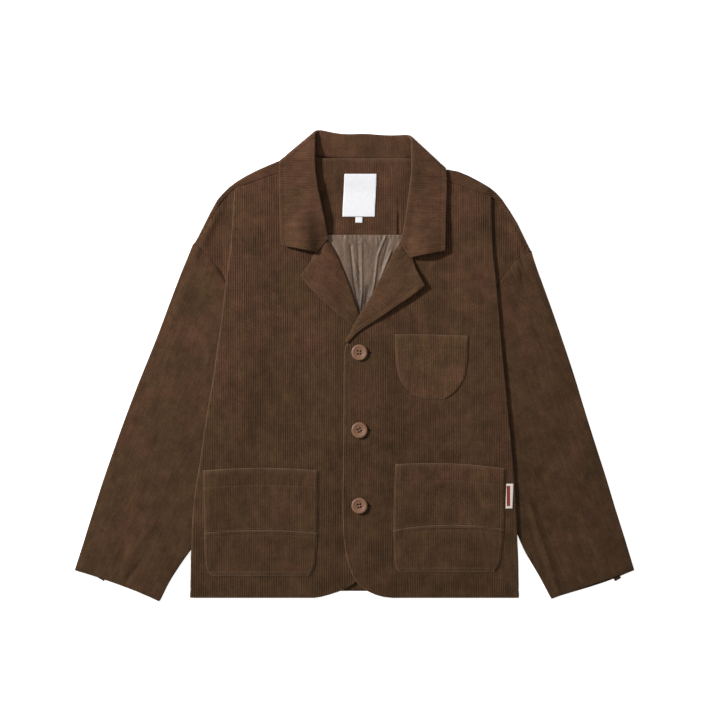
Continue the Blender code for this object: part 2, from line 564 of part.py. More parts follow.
def collar_half(rows, end, corner, side):
    """Half of the collar, as stations from its front end to the middle of the back.

    The section runs from the neck seam up the stand, round the roll and out over the fall. At the
    neck corner both layers bend together round the crease, so that the fall lies behind. Towards
    the crease the stations tilt until they are parallel to it, and behind it they tilt back.
    """
    a = math.radians(corner["angle"])
    normal = np.array([side * math.sin(a), math.cos(a)])
    middle = FRONT_LEVEL + WALL + AIR + TURN
    axis_z = (middle + TURN + BACK_LEVEL) / 2
    radius = middle + TURN - axis_z
    corner_roll, corner_free = rows["roll"][-1], rows["edge"][-1]

    def height_at(distance):
        """Height on the roll edge that lies this far past the crease."""
        return corner["y"] + (distance - (corner_roll - corner["x"]) * normal[0]) / normal[1]

    bend = height_at(np.linspace(0, math.pi * radius, 6))
    past = (math.pi * radius - (COLLAR_MIDDLE_X - corner_roll) / normal[0]) / 2
    behind = np.linspace(bend[-1], height_at(past), 6)[1:]
    straight = bend[0] - abs(corner_free - corner_roll) * math.tan(a) - 6
    front = np.linspace(rows["y"][0], straight, 7)
    near = np.linspace(straight, bend[0], 4)[1:-1]
    heights = np.concatenate([front, near, bend, behind])
    tilt = math.tan(a) * np.concatenate([0 * front, (near - straight) / (bend[0] - straight), 0 * bend + 1,
                                         np.clip(1 - (behind - bend[-1]) / 45, 0, 1)])

    stand_share = np.array([1, 0.5])
    fall_share = np.array([0.15, 0.4, 0.7, 1])
    angle = np.radians([-90, -45, 0, 45, 90])
    inset = WALL / 2 + TURN
    roll = np.interp(heights, rows["y"], rows["roll"])
    spread = np.abs(np.interp(heights, rows["y"], rows["edge"]) - roll)[:, None]
    fall = inset + fall_share * (spread - inset)
    offset = np.hstack([np.tile(np.append(stand_share * STAND_WIDTH, inset - TURN * np.cos(angle)),
                                (len(heights), 1)), fall])
    layer = np.hstack([0 * stand_share - TURN, TURN * np.sin(angle), 0 * fall_share + TURN])
    on_fall = np.arange(len(layer)) >= len(layer) - len(fall_share)
    x = roll[:, None] + side * offset
    share = np.where(on_fall, offset / spread, 0)
    start = heights[0]
    fade = 1 - step((heights[:, None] - start) / 46)
    y = heights[:, None] - offset * tilt[:, None] + (np.interp(share, end["share"], end["y"]) - start) * fade
    fitted = 1 - step((y - 262) / 26)
    z = middle + layer + fitted * (front_rise(x, np.minimum(y, 260)) + 0.8 * share**2)

    # The bend at the neck corner, round an axis halfway between the leaf and the surface below.
    distance = (x - corner["x"]) * normal[0] + (y - corner["y"]) * normal[1]
    turn = np.clip(distance / radius, 0, math.pi)
    height = z - axis_z
    beyond = np.maximum(distance - math.pi * radius, 0)
    shift = np.where(distance > 0, height * np.sin(turn) - beyond - distance, 0)
    x, y, z = x + shift * normal[0], y + shift * normal[1], axis_z + height * np.cos(turn)

    # Behind the neck the strip straightens to run level across to the middle of the back.
    weight = step((heights - bend[-1]) / (heights[-1] - bend[-1]))[:, None]
    fall_scale = FALL_WIDTH / abs(corner_free - corner_roll)
    level_y = COLLAR_TOP_Y - offset * np.where(on_fall, fall_scale, 1)
    roll_x = x[:, len(stand_share) + 2][:, None]
    return grid(x * (1 - weight) + roll_x * weight, y * (1 - weight) + level_y * weight, z)


def make_collar(collection, finish):
    right = collar_half(COLLAR_RIGHT, COLLAR_END_RIGHT, CORNER_RIGHT, -1)
    left = collar_half(COLLAR_LEFT, COLLAR_END_LEFT, CORNER_LEFT, 1)
    middle = (right[-1:] + left[-1:]) / 2
    return cloth("collar", np.vstack([right[:-1], middle, left[-2::-1]]), WALL, collection, finish)


def make_button(name, centre, base, collection, cutters, finish):
    """A four-hole button: a turned disc with a raised rim, and four holes through its middle."""
    radius = BUTTON_DIAMETER / 2
    profile = [(0, BUTTON_HEIGHT - 1.0), (radius - 4.0, BUTTON_HEIGHT - 1.0), (radius - 2.6, BUTTON_HEIGHT),
               (radius - 1.2, BUTTON_HEIGHT), (radius, BUTTON_HEIGHT - 1.2), (radius, 1.2),
               (radius - 1.6, 0), (0, 0)]
    mesh = bpy.data.meshes.new(name)
    edges = [(i, i + 1) for i in range(len(profile) - 1)]
    mesh.from_pydata([(r * MM, 0, z * MM) for r, z in profile], edges, [])
    made = add_object(name, mesh, collection, finish)
    made.location = (centre[0] * MM, centre[1] * MM, base * MM)
    turned = made.modifiers.new("turned", "SCREW")
    turned.steps = turned.render_steps = 18
    turned.use_merge_vertices = True
    turned.merge_threshold = 0.0001
    turned.use_normal_calculate = False
    for k in range(4):
        angle = math.radians(45 + 90 * k)
        hole = (centre[0] + 3.0 * math.cos(angle), centre[1] + 3.0 * math.sin(angle))
        drill = bpy.data.meshes.new(f"{name}_hole_{k}")
        shape = bmesh.new()
        bmesh.ops.create_cone(shape, cap_ends=True, segments=6, radius1=1.1 * MM, radius2=1.1 * MM,
                              depth=4 * BUTTON_HEIGHT * MM)
        shape.to_mesh(drill)
        shape.free()
        cutter = bpy.data.objects.new(drill.name, drill)
        cutter.location = (hole[0] * MM, hole[1] * MM, base * MM)
        cutter.hide_render = True
        cutter.display_type = "WIRE"
        cutters.objects.link(cutter)
        cut = made.modifiers.new(f"hole_{k}", "BOOLEAN")
        cut.operation = "DIFFERENCE"
        cut.object = cutter
    return made


# ---------------------------------------------------------------- the jacket

def build():
    for old in list(bpy.data.objects):
        bpy.data.objects.remove(old, do_unlink=True)
    jacket = new_collection("corduroy_jacket")
    cutters = new_collection("cutters")
    corduroy = material("corduroy", CORDUROY, 0.9)
    facing = material("facing_corduroy", FACING, 0.9)
    satin = material("lining_satin", LINING, 0.4)
    white = material("label_white", WHITE, 0.7)
    cream = material("label_cream", CREAM, 0.7)
    horn = material("button_horn", HORN, 0.45)

    make_back(jacket, corduroy)
    make_front("front_right", FRONT_RIGHT, front_right_z, -1, jacket, corduroy)
    make_front("front_left", FRONT_LEFT, front_left_z, 1, jacket, corduroy)
    make_sleeve("sleeve_right", SLEEVE_RIGHT, -1, jacket, corduroy)
    make_sleeve("sleeve_left", SLEEVE_LEFT, 1, jacket, corduroy)
    make_vent("vent_right", VENT_RIGHT, jacket, corduroy)
    make_vent("vent_left", VENT_LEFT, jacket, corduroy)
    make_lapel("lapel_right", LAPEL_RIGHT, front_right_z, jacket, facing)
    make_lapel("lapel_left", LAPEL_LEFT, front_left_z, jacket, facing)
    make_collar(jacket, corduroy)

    def lining_z(x, y):
        return back_z(x, y) + WALL / 2 + AIR + SATIN / 2 + creases(x, y, LINING_CREASES)

    def facing_z(x, y):
        return back_z(x, y) + WALL + AIR

    make_panel("back_lining", BACK_LINING, 14, lining_z, SATIN, jacket, satin)
    make_panel("back_neck_facing", NECK_FACING, 9, facing_z, WALL, jacket, facing)

    def label_z(x, y):
        return facing_z(x, y) + WALL / 2 + AIR + LABEL / 2

    make_panel("neck_label", NECK_LABEL, 4, label_z, LABEL, jacket, white)
    make_panel("size_tab", SIZE_TAB, 2, label_z, LABEL, jacket, white)

    make_pocket("pocket_right", POCKET_RIGHT, POCKET_RIGHT_SEAM, front_right_z, jacket, corduroy)
    make_pocket("pocket_left", POCKET_LEFT, POCKET_LEFT_SEAM, front_left_z, jacket, corduroy)

    def chest_pocket_z(x, y):
        return front_left_z(x, y) + WALL + POCKET_AIR

    def side_label_z(x, y):
        return front_left_z(x, y) + WALL / 2 + AIR + LABEL / 2

    make_panel("pocket_chest", POCKET_CHEST, 8, chest_pocket_z, WALL, jacket, corduroy)
    make_panel("side_label", SIDE_LABEL, 2, side_label_z, LABEL, jacket, cream)

    for row, y in BUTTON_ROWS.items():
        base = float(front_left_z(np.array(BUTTON_X), np.array(y))) + WALL / 2 + 0.8
        make_button(f"button_{row}", (BUTTON_X, y), base, jacket, cutters, horn)


build()
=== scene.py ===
"""Corduroy jacket, laid flat with its front up: its cloth, sewing and finishes.

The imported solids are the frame. Each piece of cloth is a thin closed wall over the middle surface
of its solid, with the wales raised on its right side, and it replaces that solid. The tables are in
millimetres, +X towards the wearer's left, +Y towards the collar and +Z up out of the front.
"""

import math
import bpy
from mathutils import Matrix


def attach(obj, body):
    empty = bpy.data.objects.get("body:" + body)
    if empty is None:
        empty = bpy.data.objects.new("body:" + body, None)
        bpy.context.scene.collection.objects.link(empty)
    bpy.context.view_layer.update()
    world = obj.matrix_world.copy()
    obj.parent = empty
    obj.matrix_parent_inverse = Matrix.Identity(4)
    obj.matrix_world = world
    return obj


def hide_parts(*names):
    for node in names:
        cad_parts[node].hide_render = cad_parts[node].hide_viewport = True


bl_info = {
    "name": "Corduroy jacket",
    "version": (1, 0, 0),
    "blender": (4, 5, 0),
    "location": "3D View > Sidebar > Jacket",
    "description": "Makes a corduroy jacket that is laid flat, with its sewing, labels and buttons",
    "category": "Add Mesh",
}

import bpy
import numpy as np

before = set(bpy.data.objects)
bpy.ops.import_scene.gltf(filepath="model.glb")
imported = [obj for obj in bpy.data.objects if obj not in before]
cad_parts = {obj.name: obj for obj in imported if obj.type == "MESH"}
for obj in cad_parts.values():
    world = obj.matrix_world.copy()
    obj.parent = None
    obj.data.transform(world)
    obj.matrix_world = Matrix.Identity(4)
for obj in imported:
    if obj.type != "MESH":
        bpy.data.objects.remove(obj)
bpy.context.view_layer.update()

MM = 0.001
SIDES = {"right": -1, "left": 1}
UP = np.array([0.0, 0.0, 1.0])
FAR = 99.0                  # a distance past every edge that is rounded, worn or given a painted highlight

# Thickness of the cloths and the least air between two layers.
WALL = 1.8
SATIN = 1.0
LABEL = 1.0
THIN_LAP = 1.0
LAPEL_WALL = 2.4
AIR = 0.5
POCKET_AIR = 0.8

# Heights of the middle surfaces, from the surface the jacket lies on.
BACK_LEVEL = WALL / 2
FRONT_LEVEL = 5.9
TURN = 1.25                 # radius of a turned edge, between two layers of one cloth
LAPEL_TURN = 2.3            # radius of the roll of a lapel
SLEEVE_STEP = 2.5           # how far a sleeve is lifted where it lies on the back
FRONT_RISE = 4.9            # how far the front rises over a sleeve and the armhole tuck
RAMP = 60.0                 # width over which it rises
LAP_STEP = 2.3              # the left front over the right one,
LAP_SPAN = (34.0, 80.0)     # and the places across between which it comes down again
UNDER_SPAN = (-31.0, -17.0)     # where the right front sinks under the left one's edge
SETTLED_SPAN = (-20.0, -60.0)   # where its creases begin, away from the lap
TUCK_DEPTH = 22.0           # depth of the tuck at the armhole
TUCK_FOOT_Y = 90.0          # and the height where it starts
ARMHOLE_SPAN = (150, 262)   # how far from the middle the tuck's last layer may lie
BACK_HEM_RISE = 10.0        # how much shorter the back is where the fronts part at the hem

HEM_Y = -346.0
NECK_SEAM_Y = 311.5


def table(names, *rows):
    """Named columns from a short list of rows."""
    return dict(zip(names.split(), np.array(rows, float).T))


# Sides of the body: where the fronts fold under, and the inner edge of the sleeve beneath them.
BODY = table(
    "y right_fold left_fold right_under left_under",
    (-346, -246, 246, -290, 291), (-300, -245, 244.5, -262, 266), (-270, -244, 244, -246, 250),
    (-221, -242, 242, -224, 230), (-175, -237, 239.5, -209, 214), (-121, -228, 235, -192, 198),
    (-71, -221, 230, -178, 186), (-20, -212, 225, -166, 177), (71, -199, 217, -168, 188),
    (130, -192, 212, -165, 186), (162, -188, 208, -162, 182), (194, -184, 205.5, -158, 179),
    (227, -182, 205, -155, 178), (250, -180.5, 205, -153, 177), (300, -178, 205, -150, 175))

# Sides of the back panel, from the hem up to where its shoulder strips begin.
BACK_SIDE = table(
    "y right left",
    (-346, -242, 242), (-221, -238, 238), (-121, -224, 231), (-20, -208, 221), (60, -196.5, 214),
    (122, -188.6, 208.5))

# Share of the rise over the sleeve that each height on the body has.
RISE = table(
    "y right left",
    (-346, 1, 1), (190, 1, 1), (220, 0.8, 0.74), (249, 0.6, 0.41), (262, 0.3, 0.05), (274, 0, 0),
    (300, 0, 0))

# Front edges: the right front runs on beneath the left one. Above the break, the edge keeps behind
# the roll of the lapel and then behind the neck seam. The last rows end at the shoulder seam.
FRONT = {
    "right": table(
        "y edge side",
        (-346, -60, -246), (-344.5, -50, -246), (-341, -37, -246), (-334, -17, -245.6),
        (-325, -2, -245.5), (-312, 10, -245.2), (-295, 19, -245), (-270, 26, -244),
        (-240, 30, -243), (-208, 31, -241), (-175, 31, -237), (-148, 31, -232), (-121, 31, -228),
        (-95, 31, -224.5), (-71, 31, -221), (-45, 31, -216.5), (-20, 31, -212), (2, 30, -208.8),
        (22, 24, -206), (47, 14, -202.5), (71, 5, -199), (95, -3.5, -196.5), (119, -11, -193.5),
        (141, -20, -190.5), (162, -29, -188), (184, -44, -185), (206, -52, -183.5),
        (228, -58, -182), (248, -63, -180.5), (264, -67, -180), (276.5, -71, -148),
        (287, -75, -117), (292, -77, -102.5)),
    "left": table(
        "y edge side",
        (-346, 57, 246), (-344.5, 44, 246), (-341, 31, 246), (-334, 17, 245.6), (-325, 5.5, 245.5),
        (-312, -3, 245.2), (-295, -9.5, 245), (-270, -14.5, 244), (-240, -17, 242.8),
        (-208, -18, 241.5), (-175, -17.5, 239.5), (-148, -17, 237.3), (-121, -17, 235),
        (-95, -16.5, 232.4), (-71, -16.5, 230), (-45, -16, 227.4), (-20, -16, 225),
        (2, -15.5, 222.8), (20, -15, 221.3), (30, -14, 220.5), (38, -7.5, 219.7), (54, 3, 218),
        (71, 9, 217), (95, 25, 214.8), (119, 38, 212.6), (141, 49, 210.8), (162, 60, 208),
        (184, 76, 206.2), (206, 84, 205.2), (226, 88, 205), (246, 92, 205), (252.5, 93.7, 204.5),
        (266, 97, 168.5), (276.5, 99, 137), (280, 101, 123))}

# The shoulder line, from the armhole up to the neck: the edge seen from above and the seam.
SHOULDER = {
    "right": table(
        "edge_x edge_y seam_x seam_y",
        (-243.2, 176, -238.6, 177), (-241, 182, -236.4, 183), (-233, 196, -228.6, 194.5),
        (-224, 214, -219.2, 211.5), (-215, 232, -209.5, 228.5), (-205, 250, -199, 246.5),
        (-197, 259, -189.5, 256), (-188, 268, -181, 265), (-176, 277, -165, 271),
        (-161, 286, -148, 277), (-143, 295, -131, 283), (-124, 303, -113, 289),
        (-112, 308, -102, 295)),
    "left": table(
        "edge_x edge_y seam_x seam_y",
        (267.4, 163, 262.9, 164.7), (266, 169, 261.5, 170.5), (257, 187, 252.4, 185.5),
        (244, 214, 239.2, 211.5), (233, 232, 228, 228), (221, 250, 214, 243), (212, 260, 204, 253),
        (202, 268, 192, 258), (187, 277, 173, 265), (170, 286, 158, 270.5), (155, 292, 143, 276),
        (143, 294, 131, 279), (132, 295, 119, 281))}

# The armhole seam below the shoulder, as it crosses the front's fold and runs on beneath it.
ARMHOLE = table(
    "y right left",
    (95, -182, 203), (111, -185, 207), (128, -192.5, 216), (146, -205, 231), (161, -217, 249),
    (170, -225.5, 261), (182, -236, 256))

# Sleeves, from the cuff to the armhole: outer edge and inner edge.
SLEEVE = {
    "right": table(
        "outer_x outer_y inner_x inner_y",
        (-419, -305, -291.5, -352), (-409, -274, -276, -321), (-400, -245, -260, -296),
        (-377, -173, -219, -235), (-352, -101, -202, -160), (-325, -29, -186, -102),
        (-296, 43, -174, -58), (-269, 115, -168, -34), (-255, 151, -166, -25),
        (-242, 180, -165, -20)),
    "left": table(
        "outer_x outer_y inner_x inner_y",
        (419, -305, 294.5, -348), (408.5, -270, 277, -315), (395, -227, 255, -277),
        (373, -155, 227, -207), (350, -83, 202, -142), (328, -11, 188, -90), (304, 61, 182, -66),
        (280, 128, 179, -45), (272, 150, 177, -34), (267, 167, 176, -24))}
# How far the sleeve cap bows towards the neck, from its inner edge to its outer one.
CAP = table(
    "share right left",
    (0, 0, 0), (0.33, 11, 9), (0.44, 18, 15.5), (0.56, 25.2, 24.4), (0.67, 26.7, 28.4),
    (0.78, 22.2, 25.8), (0.89, 14.8, 18), (1, 3, 4))

# Under laps of the cuff vents, from inside the cuff to the end that shows.
VENT = {
    "right": table(
        "left_x left_y right_x right_y",
        (-377, -296, -366, -300), (-380.5, -306, -369.5, -310), (-384, -316, -375, -321.5)),
    "left": table(
        "left_x left_y right_x right_y",
        (380, -300, 390, -296), (383, -309, 394, -305), (390, -321.5, 399, -316.5))}

# Lapels, from the gorge seam down to the break: roll edge and free edge.
LAPEL = {
    "right": table(
        "roll_x roll_y edge_x edge_y",
        (-37.2, 188.8, -55.2, 169.6), (-33.5, 180, -66, 156), (-28, 171, -80.5, 136),
        (-21, 157, -70, 120.5), (-14, 141, -56, 107.5), (-5.5, 119, -38, 90),
        (1.5, 97, -21.5, 75.5), (7.4, 80.5, -4.8, 63), (13.5, 64, 8, 54)),
    "left": table(
        "roll_x roll_y edge_x edge_y",
        (65, 182.5, 82.2, 161.5), (61.5, 176, 92, 145.5), (56, 166, 105.5, 121), (43, 140, 86, 105),
        (32, 119, 66, 92), (20, 97, 44, 77), (8, 79, 24, 63.5), (-3, 58.5, 5, 51),
        (-14.6, 38.5, -11, 34))}

# Collar, from its front end up to the neck corner: roll edge and free edge.
COLLAR = {
    "right": table(
        "y roll edge",
        (190, -38, -109), (200, -40.5, -110.5), (224, -45, -112), (265, -54, -113),
        (290, -57.5, -113), (305, -58.5, -113)),
    "left": table(
        "y roll edge",
        (184, 66.5, 135.5), (200, 72, 136), (224, 76, 136.5), (265, 81.5, 138), (290, 84.5, 138),
        (305, 84.5, 137.5))}
# The front end of the collar: share of the way from the roll to the free edge, and height.
COLLAR_END = {
    "right": table(
        "share y",
        (0, 190), (0.26, 170.5), (1, 181)),
    "left": table(
        "share y",
        (0, 184), (0.25, 162.5), (0.6, 167.5), (1, 173))}
# The neck corner, where the collar turns to the back: a point of the crease and its direction.
CORNER = {"right": {"x": -56.0, "y": 347.5, "angle": 40.0},
          "left": {"x": 76.3, "y": 344.9, "angle": 42.8}}
COLLAR_TOP_Y = 348.5
COLLAR_MIDDLE_X = 12.0
STAND_WIDTH = 35.0
FALL_WIDTH = 53.0

# Patch pockets, from the bottom up: left and right side of each row. The seam across one is told at
# its left end, its middle and its right end.
POCKET = {
    "right": table(
        "y left right",
        (-313.5, -211, -69), (-311, -216, -64.5), (-305, -220.5, -60.5), (-296, -223, -57.5),
        (-270, -224.5, -55), (-251, -225, -54), (-225, -225, -54), (-200, -225.5, -54),
        (-175, -226, -54), (-156, -226, -54)),
    "left": table(
        "y left right",
        (-308, 69, 208), (-305.5, 64.5, 212.5), (-300, 61, 216.5), (-291, 59.5, 219.5),
        (-266, 58.5, 223), (-246, 58, 224), (-220, 58.5, 225), (-195, 59, 225.5), (-170, 60, 226),
        (-152, 61, 226.5))}
POCKET_SEAM = {"right": (-248.0, -244.0, -248.0), "left": (-244.0, -236.0, -243.0)}
POCKET_CHEST = table(
    "y left right",
    (-49, 108, 127), (-47, 98, 138), (-43, 88, 146), (-36, 79, 153.5), (-25, 70, 161),
    (-10, 64, 167.5), (8, 61.5, 170), (28, 60.5, 171), (46.5, 60, 171.5))

# The inside of the back, seen between the lapels, and the labels: left and right side of each row.
BACK_LINING = table(
    "y left right",
    (64, -4, 26), (80, -9, 31), (100, -17, 38), (120, -24, 46), (142, -33, 58), (166, -42, 70),
    (194.5, -52, 82))
LINING_Y = (60.0, 197.0)    # the satin runs on beyond those rows, beneath what lies on it
NECK_FACING = table(
    "y left right",
    (196, -55, 80), (215, -58, 86), (235, -61, 90), (255, -64, 94), (274, -66, 97), (288, -68, 99),
    (300, -70, 100), (311.4, -72, 101))
NECK_LABEL = table(
    "y left right",
    (224, -18, 30.5), (240, -17.5, 31), (256, -16.5, 32), (272, -15.7, 32.7), (288, -15, 33))
SIZE_TAB = table(
    "y left right",
    (215, 1.5, 12), (223.5, 1.5, 12))
SIDE_LABEL = table(
    "y left right",
    (-212, 225.6, 236), (-200, 226, 236.5), (-187, 226.4, 237), (-175, 226.8, 237.3))

# Soft ridges (up) and troughs (down) pressed into the cloths: ends, half width and height.
FRONT_CREASES = table(
    "x0 y0 x1 y1 width height",
    (-12, -114, 22, -116, 2.2, 0.6), (0, -103, 60, -101, 11, 1.0), (-150, 180, -95, 60, 26, 0.8),
    (-120, 90, -60, -60, 30, -0.7), (150, 190, 110, 90, 26, 0.8), (190, 60, 150, -60, 30, -0.6),
    (-200, -60, -150, -140, 24, 0.7), (45, 20, 40, -140, 20, 0.5), (-35, -60, -45, -300, 22, 0.5),
    (-160, -325, -120, -250, 18, 0.6), (150, -325, 175, -240, 20, 0.6),
    (215, -20, 222, -140, 14, 0.7))
SLEEVE_CREASES = table(
    "x0 y0 x1 y1 width height",
    (-229, 184, -238, 165, 6, 2.2), (-242, 153, -262, 90, 11, 1.6), (-246, 140, -215, 60, 12, -0.9),
    (-265, -176, -308, -181, 4, -1.4), (-268, -166, -320, -172, 8, 0.9),
    (-298, -233, -342, -292, 7, 1.2), (-326, -302, -341, -319, 2.6, -2.0),
    (-322, -225, -352, -290, 8, -1.2), (-333, -298, -349, -314, 4, 1.0),
    (-300, 30, -262, -90, 16, 0.8), (-330, -60, -290, -140, 16, -0.8),
    (-262, 0, -232, -110, 13, 0.7), (243, 172, 243, 136, 4, 1.0), (249, 170, 250, 132, 2.6, -1.5),
    (258, 170, 285, 90, 12, 1.2), (262, 140, 238, 50, 12, -0.9), (248, -173, 262, -208, 4.5, 1.3),
    (262, -208, 304, -335, 4.5, 1.6), (272, -205, 318, -335, 6, -1.0),
    (254, -212, 292, -330, 6, -0.7), (300, 20, 270, -110, 16, 0.8), (335, -60, 290, -150, 14, -0.8),
    (352, -120, 300, -170, 12, 0.7), (345, -220, 372, -300, 12, 0.8))
SHOULDER_CREASES = table(
    "x0 y0 x1 y1 width height",
    (-204, 230, -211.2, 217.3, 4.5, 1.6), (-214.7, 210.7, -227, 186, 5, 2.4),
    (-203, 218, -213, 180, 7, -1.2), (-190, 238, -198, 138, 12, -2.6),
    (246.5, 178, 249, 160, 2.6, -1.5), (233, 216, 244.4, 193.2, 4.5, 1.6),
    (247.3, 186.8, 251, 178, 4, 1.4), (226, 206, 238, 182, 5, -0.7))
LINING_FOLDS = table(
    "x0 y0 x1 y1 width height",
    (-6, 181, -1, 127.4, 1.5, -2.6), (-0.4, 124.4, 7.2, 84, 1.9, -2.6),
    (-14, 190, -8, 130, 3.4, 0.9), (-2.5, 178, 4, 128, 1.3, 1.0), (4.5, 186, 8, 118, 1.7, -1.5),
    (10.8, 192, 11.5, 112, 1.5, 1.7), (11.3, 109.6, 8.5, 84, 1.4, 1.9),
    (21, 118, 17, 96, 3.2, -2.2), (27, 190, 22, 120, 4.5, 0.7), (45.8, 193, 35.5, 167.2, 1.5, 2.4),
    (34.8, 164.7, 30.2, 125.4, 1.6, 2.4), (29.7, 122.7, 24, 96, 1.6, 1.8),
    (52, 190, 41, 150, 2.0, -1.7), (55, 172, 38, 130, 1.7, 2.2), (65, 190, 54, 158, 2.6, -1.2),
    (-13, 194, -4, 186.8, 1.5, 2.0), (-1.6, 185.8, 7, 184, 1.2, 1.6), (12, 190, 22, 178, 1.4, 1.4),
    (16, 180, 20, 170, 1.3, 1.0), (33, 194, 34, 182, 1.5, 1.5), (38, 193, 41, 183, 1.2, 1.2),
    (-28, 190, -16, 150, 4.5, 0.8), (-22, 168, -12, 160, 2.0, 0.6), (2, 150, 5, 140, 1.3, 1.2),
    (3, 162, 9, 155, 1.4, 0.9), (24, 150, 31, 140, 2.2, -0.8))

# How far pieces run on beneath a seam: the lapels at the gorge, the stand and the sleeve cap at their
# own seams, and the fronts at the shoulder. The cap's last rows lie at these distances from its end.
GORGE_TUCK = 5.5
STAND_TUCK = 3.1
CAP_TUCK = 4.0
SHOULDER_TUCK = 2.6
CAP_ROWS = np.array([0.0, 0.4, 1.4, 2.6, 4.0])

# How high the free edges stand: of a leaf of the collar at shares of the way from its roll, of that
# roll, and of a lapel at its edge. A lapel may also sink at the break.
LEAF_SHARES = np.array([0.0, 0.15, 0.4, 1.0])
LEAF_LIFT = {"right": np.array([0.0, 0.3, 9.0, 1.8]), "left": np.array([0.0, 0.1, 7.5, 4.5])}
ROLL_LIFT = {"right": 4.5, "left": 3.0}
LAPEL_LIFT = {"right": 2.0, "left": 4.2}
LAPEL_SINK = {"right": 3.0, "left": 0.0}

# The height where the fold at the side of a front ends and its shoulder begins, and how far from the
# middle the strip over the shoulder lies on the tuck.
FOLD_TOP = {"right": 264.0, "left": 252.5}
STRIP_ON_TUCK = {"right": 180.5, "left": 203.0}

# How far a sleeve's cuff bows out, and how much longer its lower wall is there.
CUFF_BOW = {"right": 3.5, "left": 1.5}
CUFF_BELOW = {"right": 1.0, "left": 3.6}

# The back is lifted over the collar's fall between these two places across, above the foot. A sleeve's
# lower wall lies on the back as far as the armhole seam above the last height, and less below it.
FALL_SPAN = (-138.0, 163.0)
FALL_FOOT_Y = 258.0
ARMHOLE_TURN_Y = 128.0

# How far a cloth dips where it runs into a seam.
SEAM_DIP = {"shoulder": 1.3, "armhole": 1.2, "gorge": 1.2, "cap": 1.8, "pocket": 1.9}

# Lines of sewing, as distances in from an edge, and the sizes of one stitch and of the gap after it.
EDGE_STITCH = 7.5
HEM_STITCH = 12.0
CUFF_STITCH = 22.0
BORDER_STITCH = 2.0         # the outer of the two rows round a pocket
POCKET_STITCH = 6.6
POCKET_HEM = 25.5
CHEST_HEM = 21.0
SEAM_STITCH = {"lower": 7.5, "upper": 1.8}      # from the seam across a pocket
FACING_STITCH_Y = 203.5
LENGTH_OF_STITCH = 2.5
GAP_OF_STITCH = 0.9
HALF_STITCH = (0.3, 0.22)   # half of its width and of its height
FRONT_STITCH_Y = (-318, 36)
CHEST_STITCH_X = (60, 171)

# Buttons: their middle across, height on the front and turn of the holes. The rows of the profile
# run from the middle of the top round to the middle of the foot. The buttonholes run from the middle
# of the jacket towards the wearer's left side.
BUTTON_X = 7.4
BUTTONS = {"top": (21.0, 0.0), "middle": (-95.0, 0.5), "bottom": (-208.0, 0.2)}
BUTTON_HEIGHT = 3.6
BUTTON_PROFILE = (
    (0.8, 2.35), (3.6, 2.4), (5.6, 2.55), (7.4, 2.98), (8.4, 3.4), (9.2, 3.58), (10.2, 3.6),
    (11.1, 3.48), (11.6, 3.1), (11.9, 2.6), (12.0, 2.0), (11.9, 1.4), (11.6, 0.85), (11.2, 0.45),
    (9.6, 0.12), (6.0, 0.0), (0.8, 0.0))
HOLE_FROM_MIDDLE = 3.0
HOLE_RADIUS = 1.35
THREAD_RADIUS = 0.36
THREAD_DEPTH = 2.95         # how far below the rim the threads run down the holes
THREAD_RISE = 1.95          # how far they arch up between two holes
BUTTONHOLE_LENGTH = 25.0
BUTTONHOLE_LIP = 0.65       # how far each lip lies from the middle of the buttonhole
LIP_RADIUS = 0.6

# How the edge of a cloth is rounded (distances of the columns that run beside it), and how fine the
# grids are. Points closer than WELD are made one.
ROUNDING = np.array([0.0, 0.3, 1.1])
HALF_TURN = np.linspace(0, math.pi, 10)[1:-1]
COLUMNS_PER_WALE = 4
ROW_SPACING = 9.0
SHOULDER_SPACING = 1.6      # between rows where the edge of a front slopes to the neck
LINING_SPACING = 1.8        # between rows of the satin, for its pucker
WELD = 0.002

# The stage, with its places and sizes in metres. The camera looks straight down at the middle of the
# view, which is as wide as this on the surface; its lens and sensor are in millimetres.
VIEW_CENTRE = (0.00825, 0.00975)
VIEW_WIDTH = 1.0765
VIEW_LENS = 130.0
VIEW_SENSOR = 36.0
FLOOR_HALF = 6.0
LAMP_PLACE = (-2.96, 1.57, 2.18)
LAMP_SIZE = 0.4
LAMP_WATTS = 182.0
ROOM_LIGHT = 0.33


class JacketSettings(bpy.types.PropertyGroup):
    """Sizes and colours that change the look of the cloth."""
    wale_pitch: bpy.props.FloatProperty(
        name="Wale pitch", description="Width of one wale and its groove, in millimetres",
        default=3.4, min=1.5, max=8.0)
    wale_height: bpy.props.FloatProperty(
        name="Wale height", description="Height of a wale over its groove, in millimetres",
        default=0.5, min=0.0, max=1.2)
    red_brown: bpy.props.FloatVectorProperty(
        name="Red brown", description="The warmer shade of the pile", subtype="COLOR", size=3,
        default=(0.0905, 0.0415, 0.0222), min=0.0, max=1.0)
    olive_brown: bpy.props.FloatVectorProperty(
        name="Olive brown", description="The cooler, darker shade of the pile", subtype="COLOR", size=3,
        default=(0.0705, 0.0370, 0.0168), min=0.0, max=1.0)
    # The lighter brown of rubbed edges. The same mark also paints highlights along lit edges, folds and
    # seams.
    wear_and_highlight_brown: bpy.props.FloatVectorProperty(
        name="Worn brown", description="The pile where edges are rubbed", subtype="COLOR", size=3,
        default=(0.160, 0.097, 0.057), min=0.0, max=1.0)
    satin: bpy.props.FloatVectorProperty(
        name="Lining", description="Colour of the satin lining", subtype="COLOR", size=3,
        default=(0.131, 0.086, 0.0585), min=0.0, max=1.0)
    horn: bpy.props.FloatVectorProperty(
        name="Buttons", description="Colour of the buttons", subtype="COLOR", size=3,
        default=(0.228, 0.112, 0.062), min=0.0, max=1.0)


def jacket():
    return bpy.context.scene.jacket


# ---------------------------------------------------------------- finishes

def operation(kind, swapped=False):
    """A method of Value that adds a Math node of that kind."""
    def method(self, *other):
        return self.math(kind, *((*other, self) if swapped else (self, *other)))
    return method


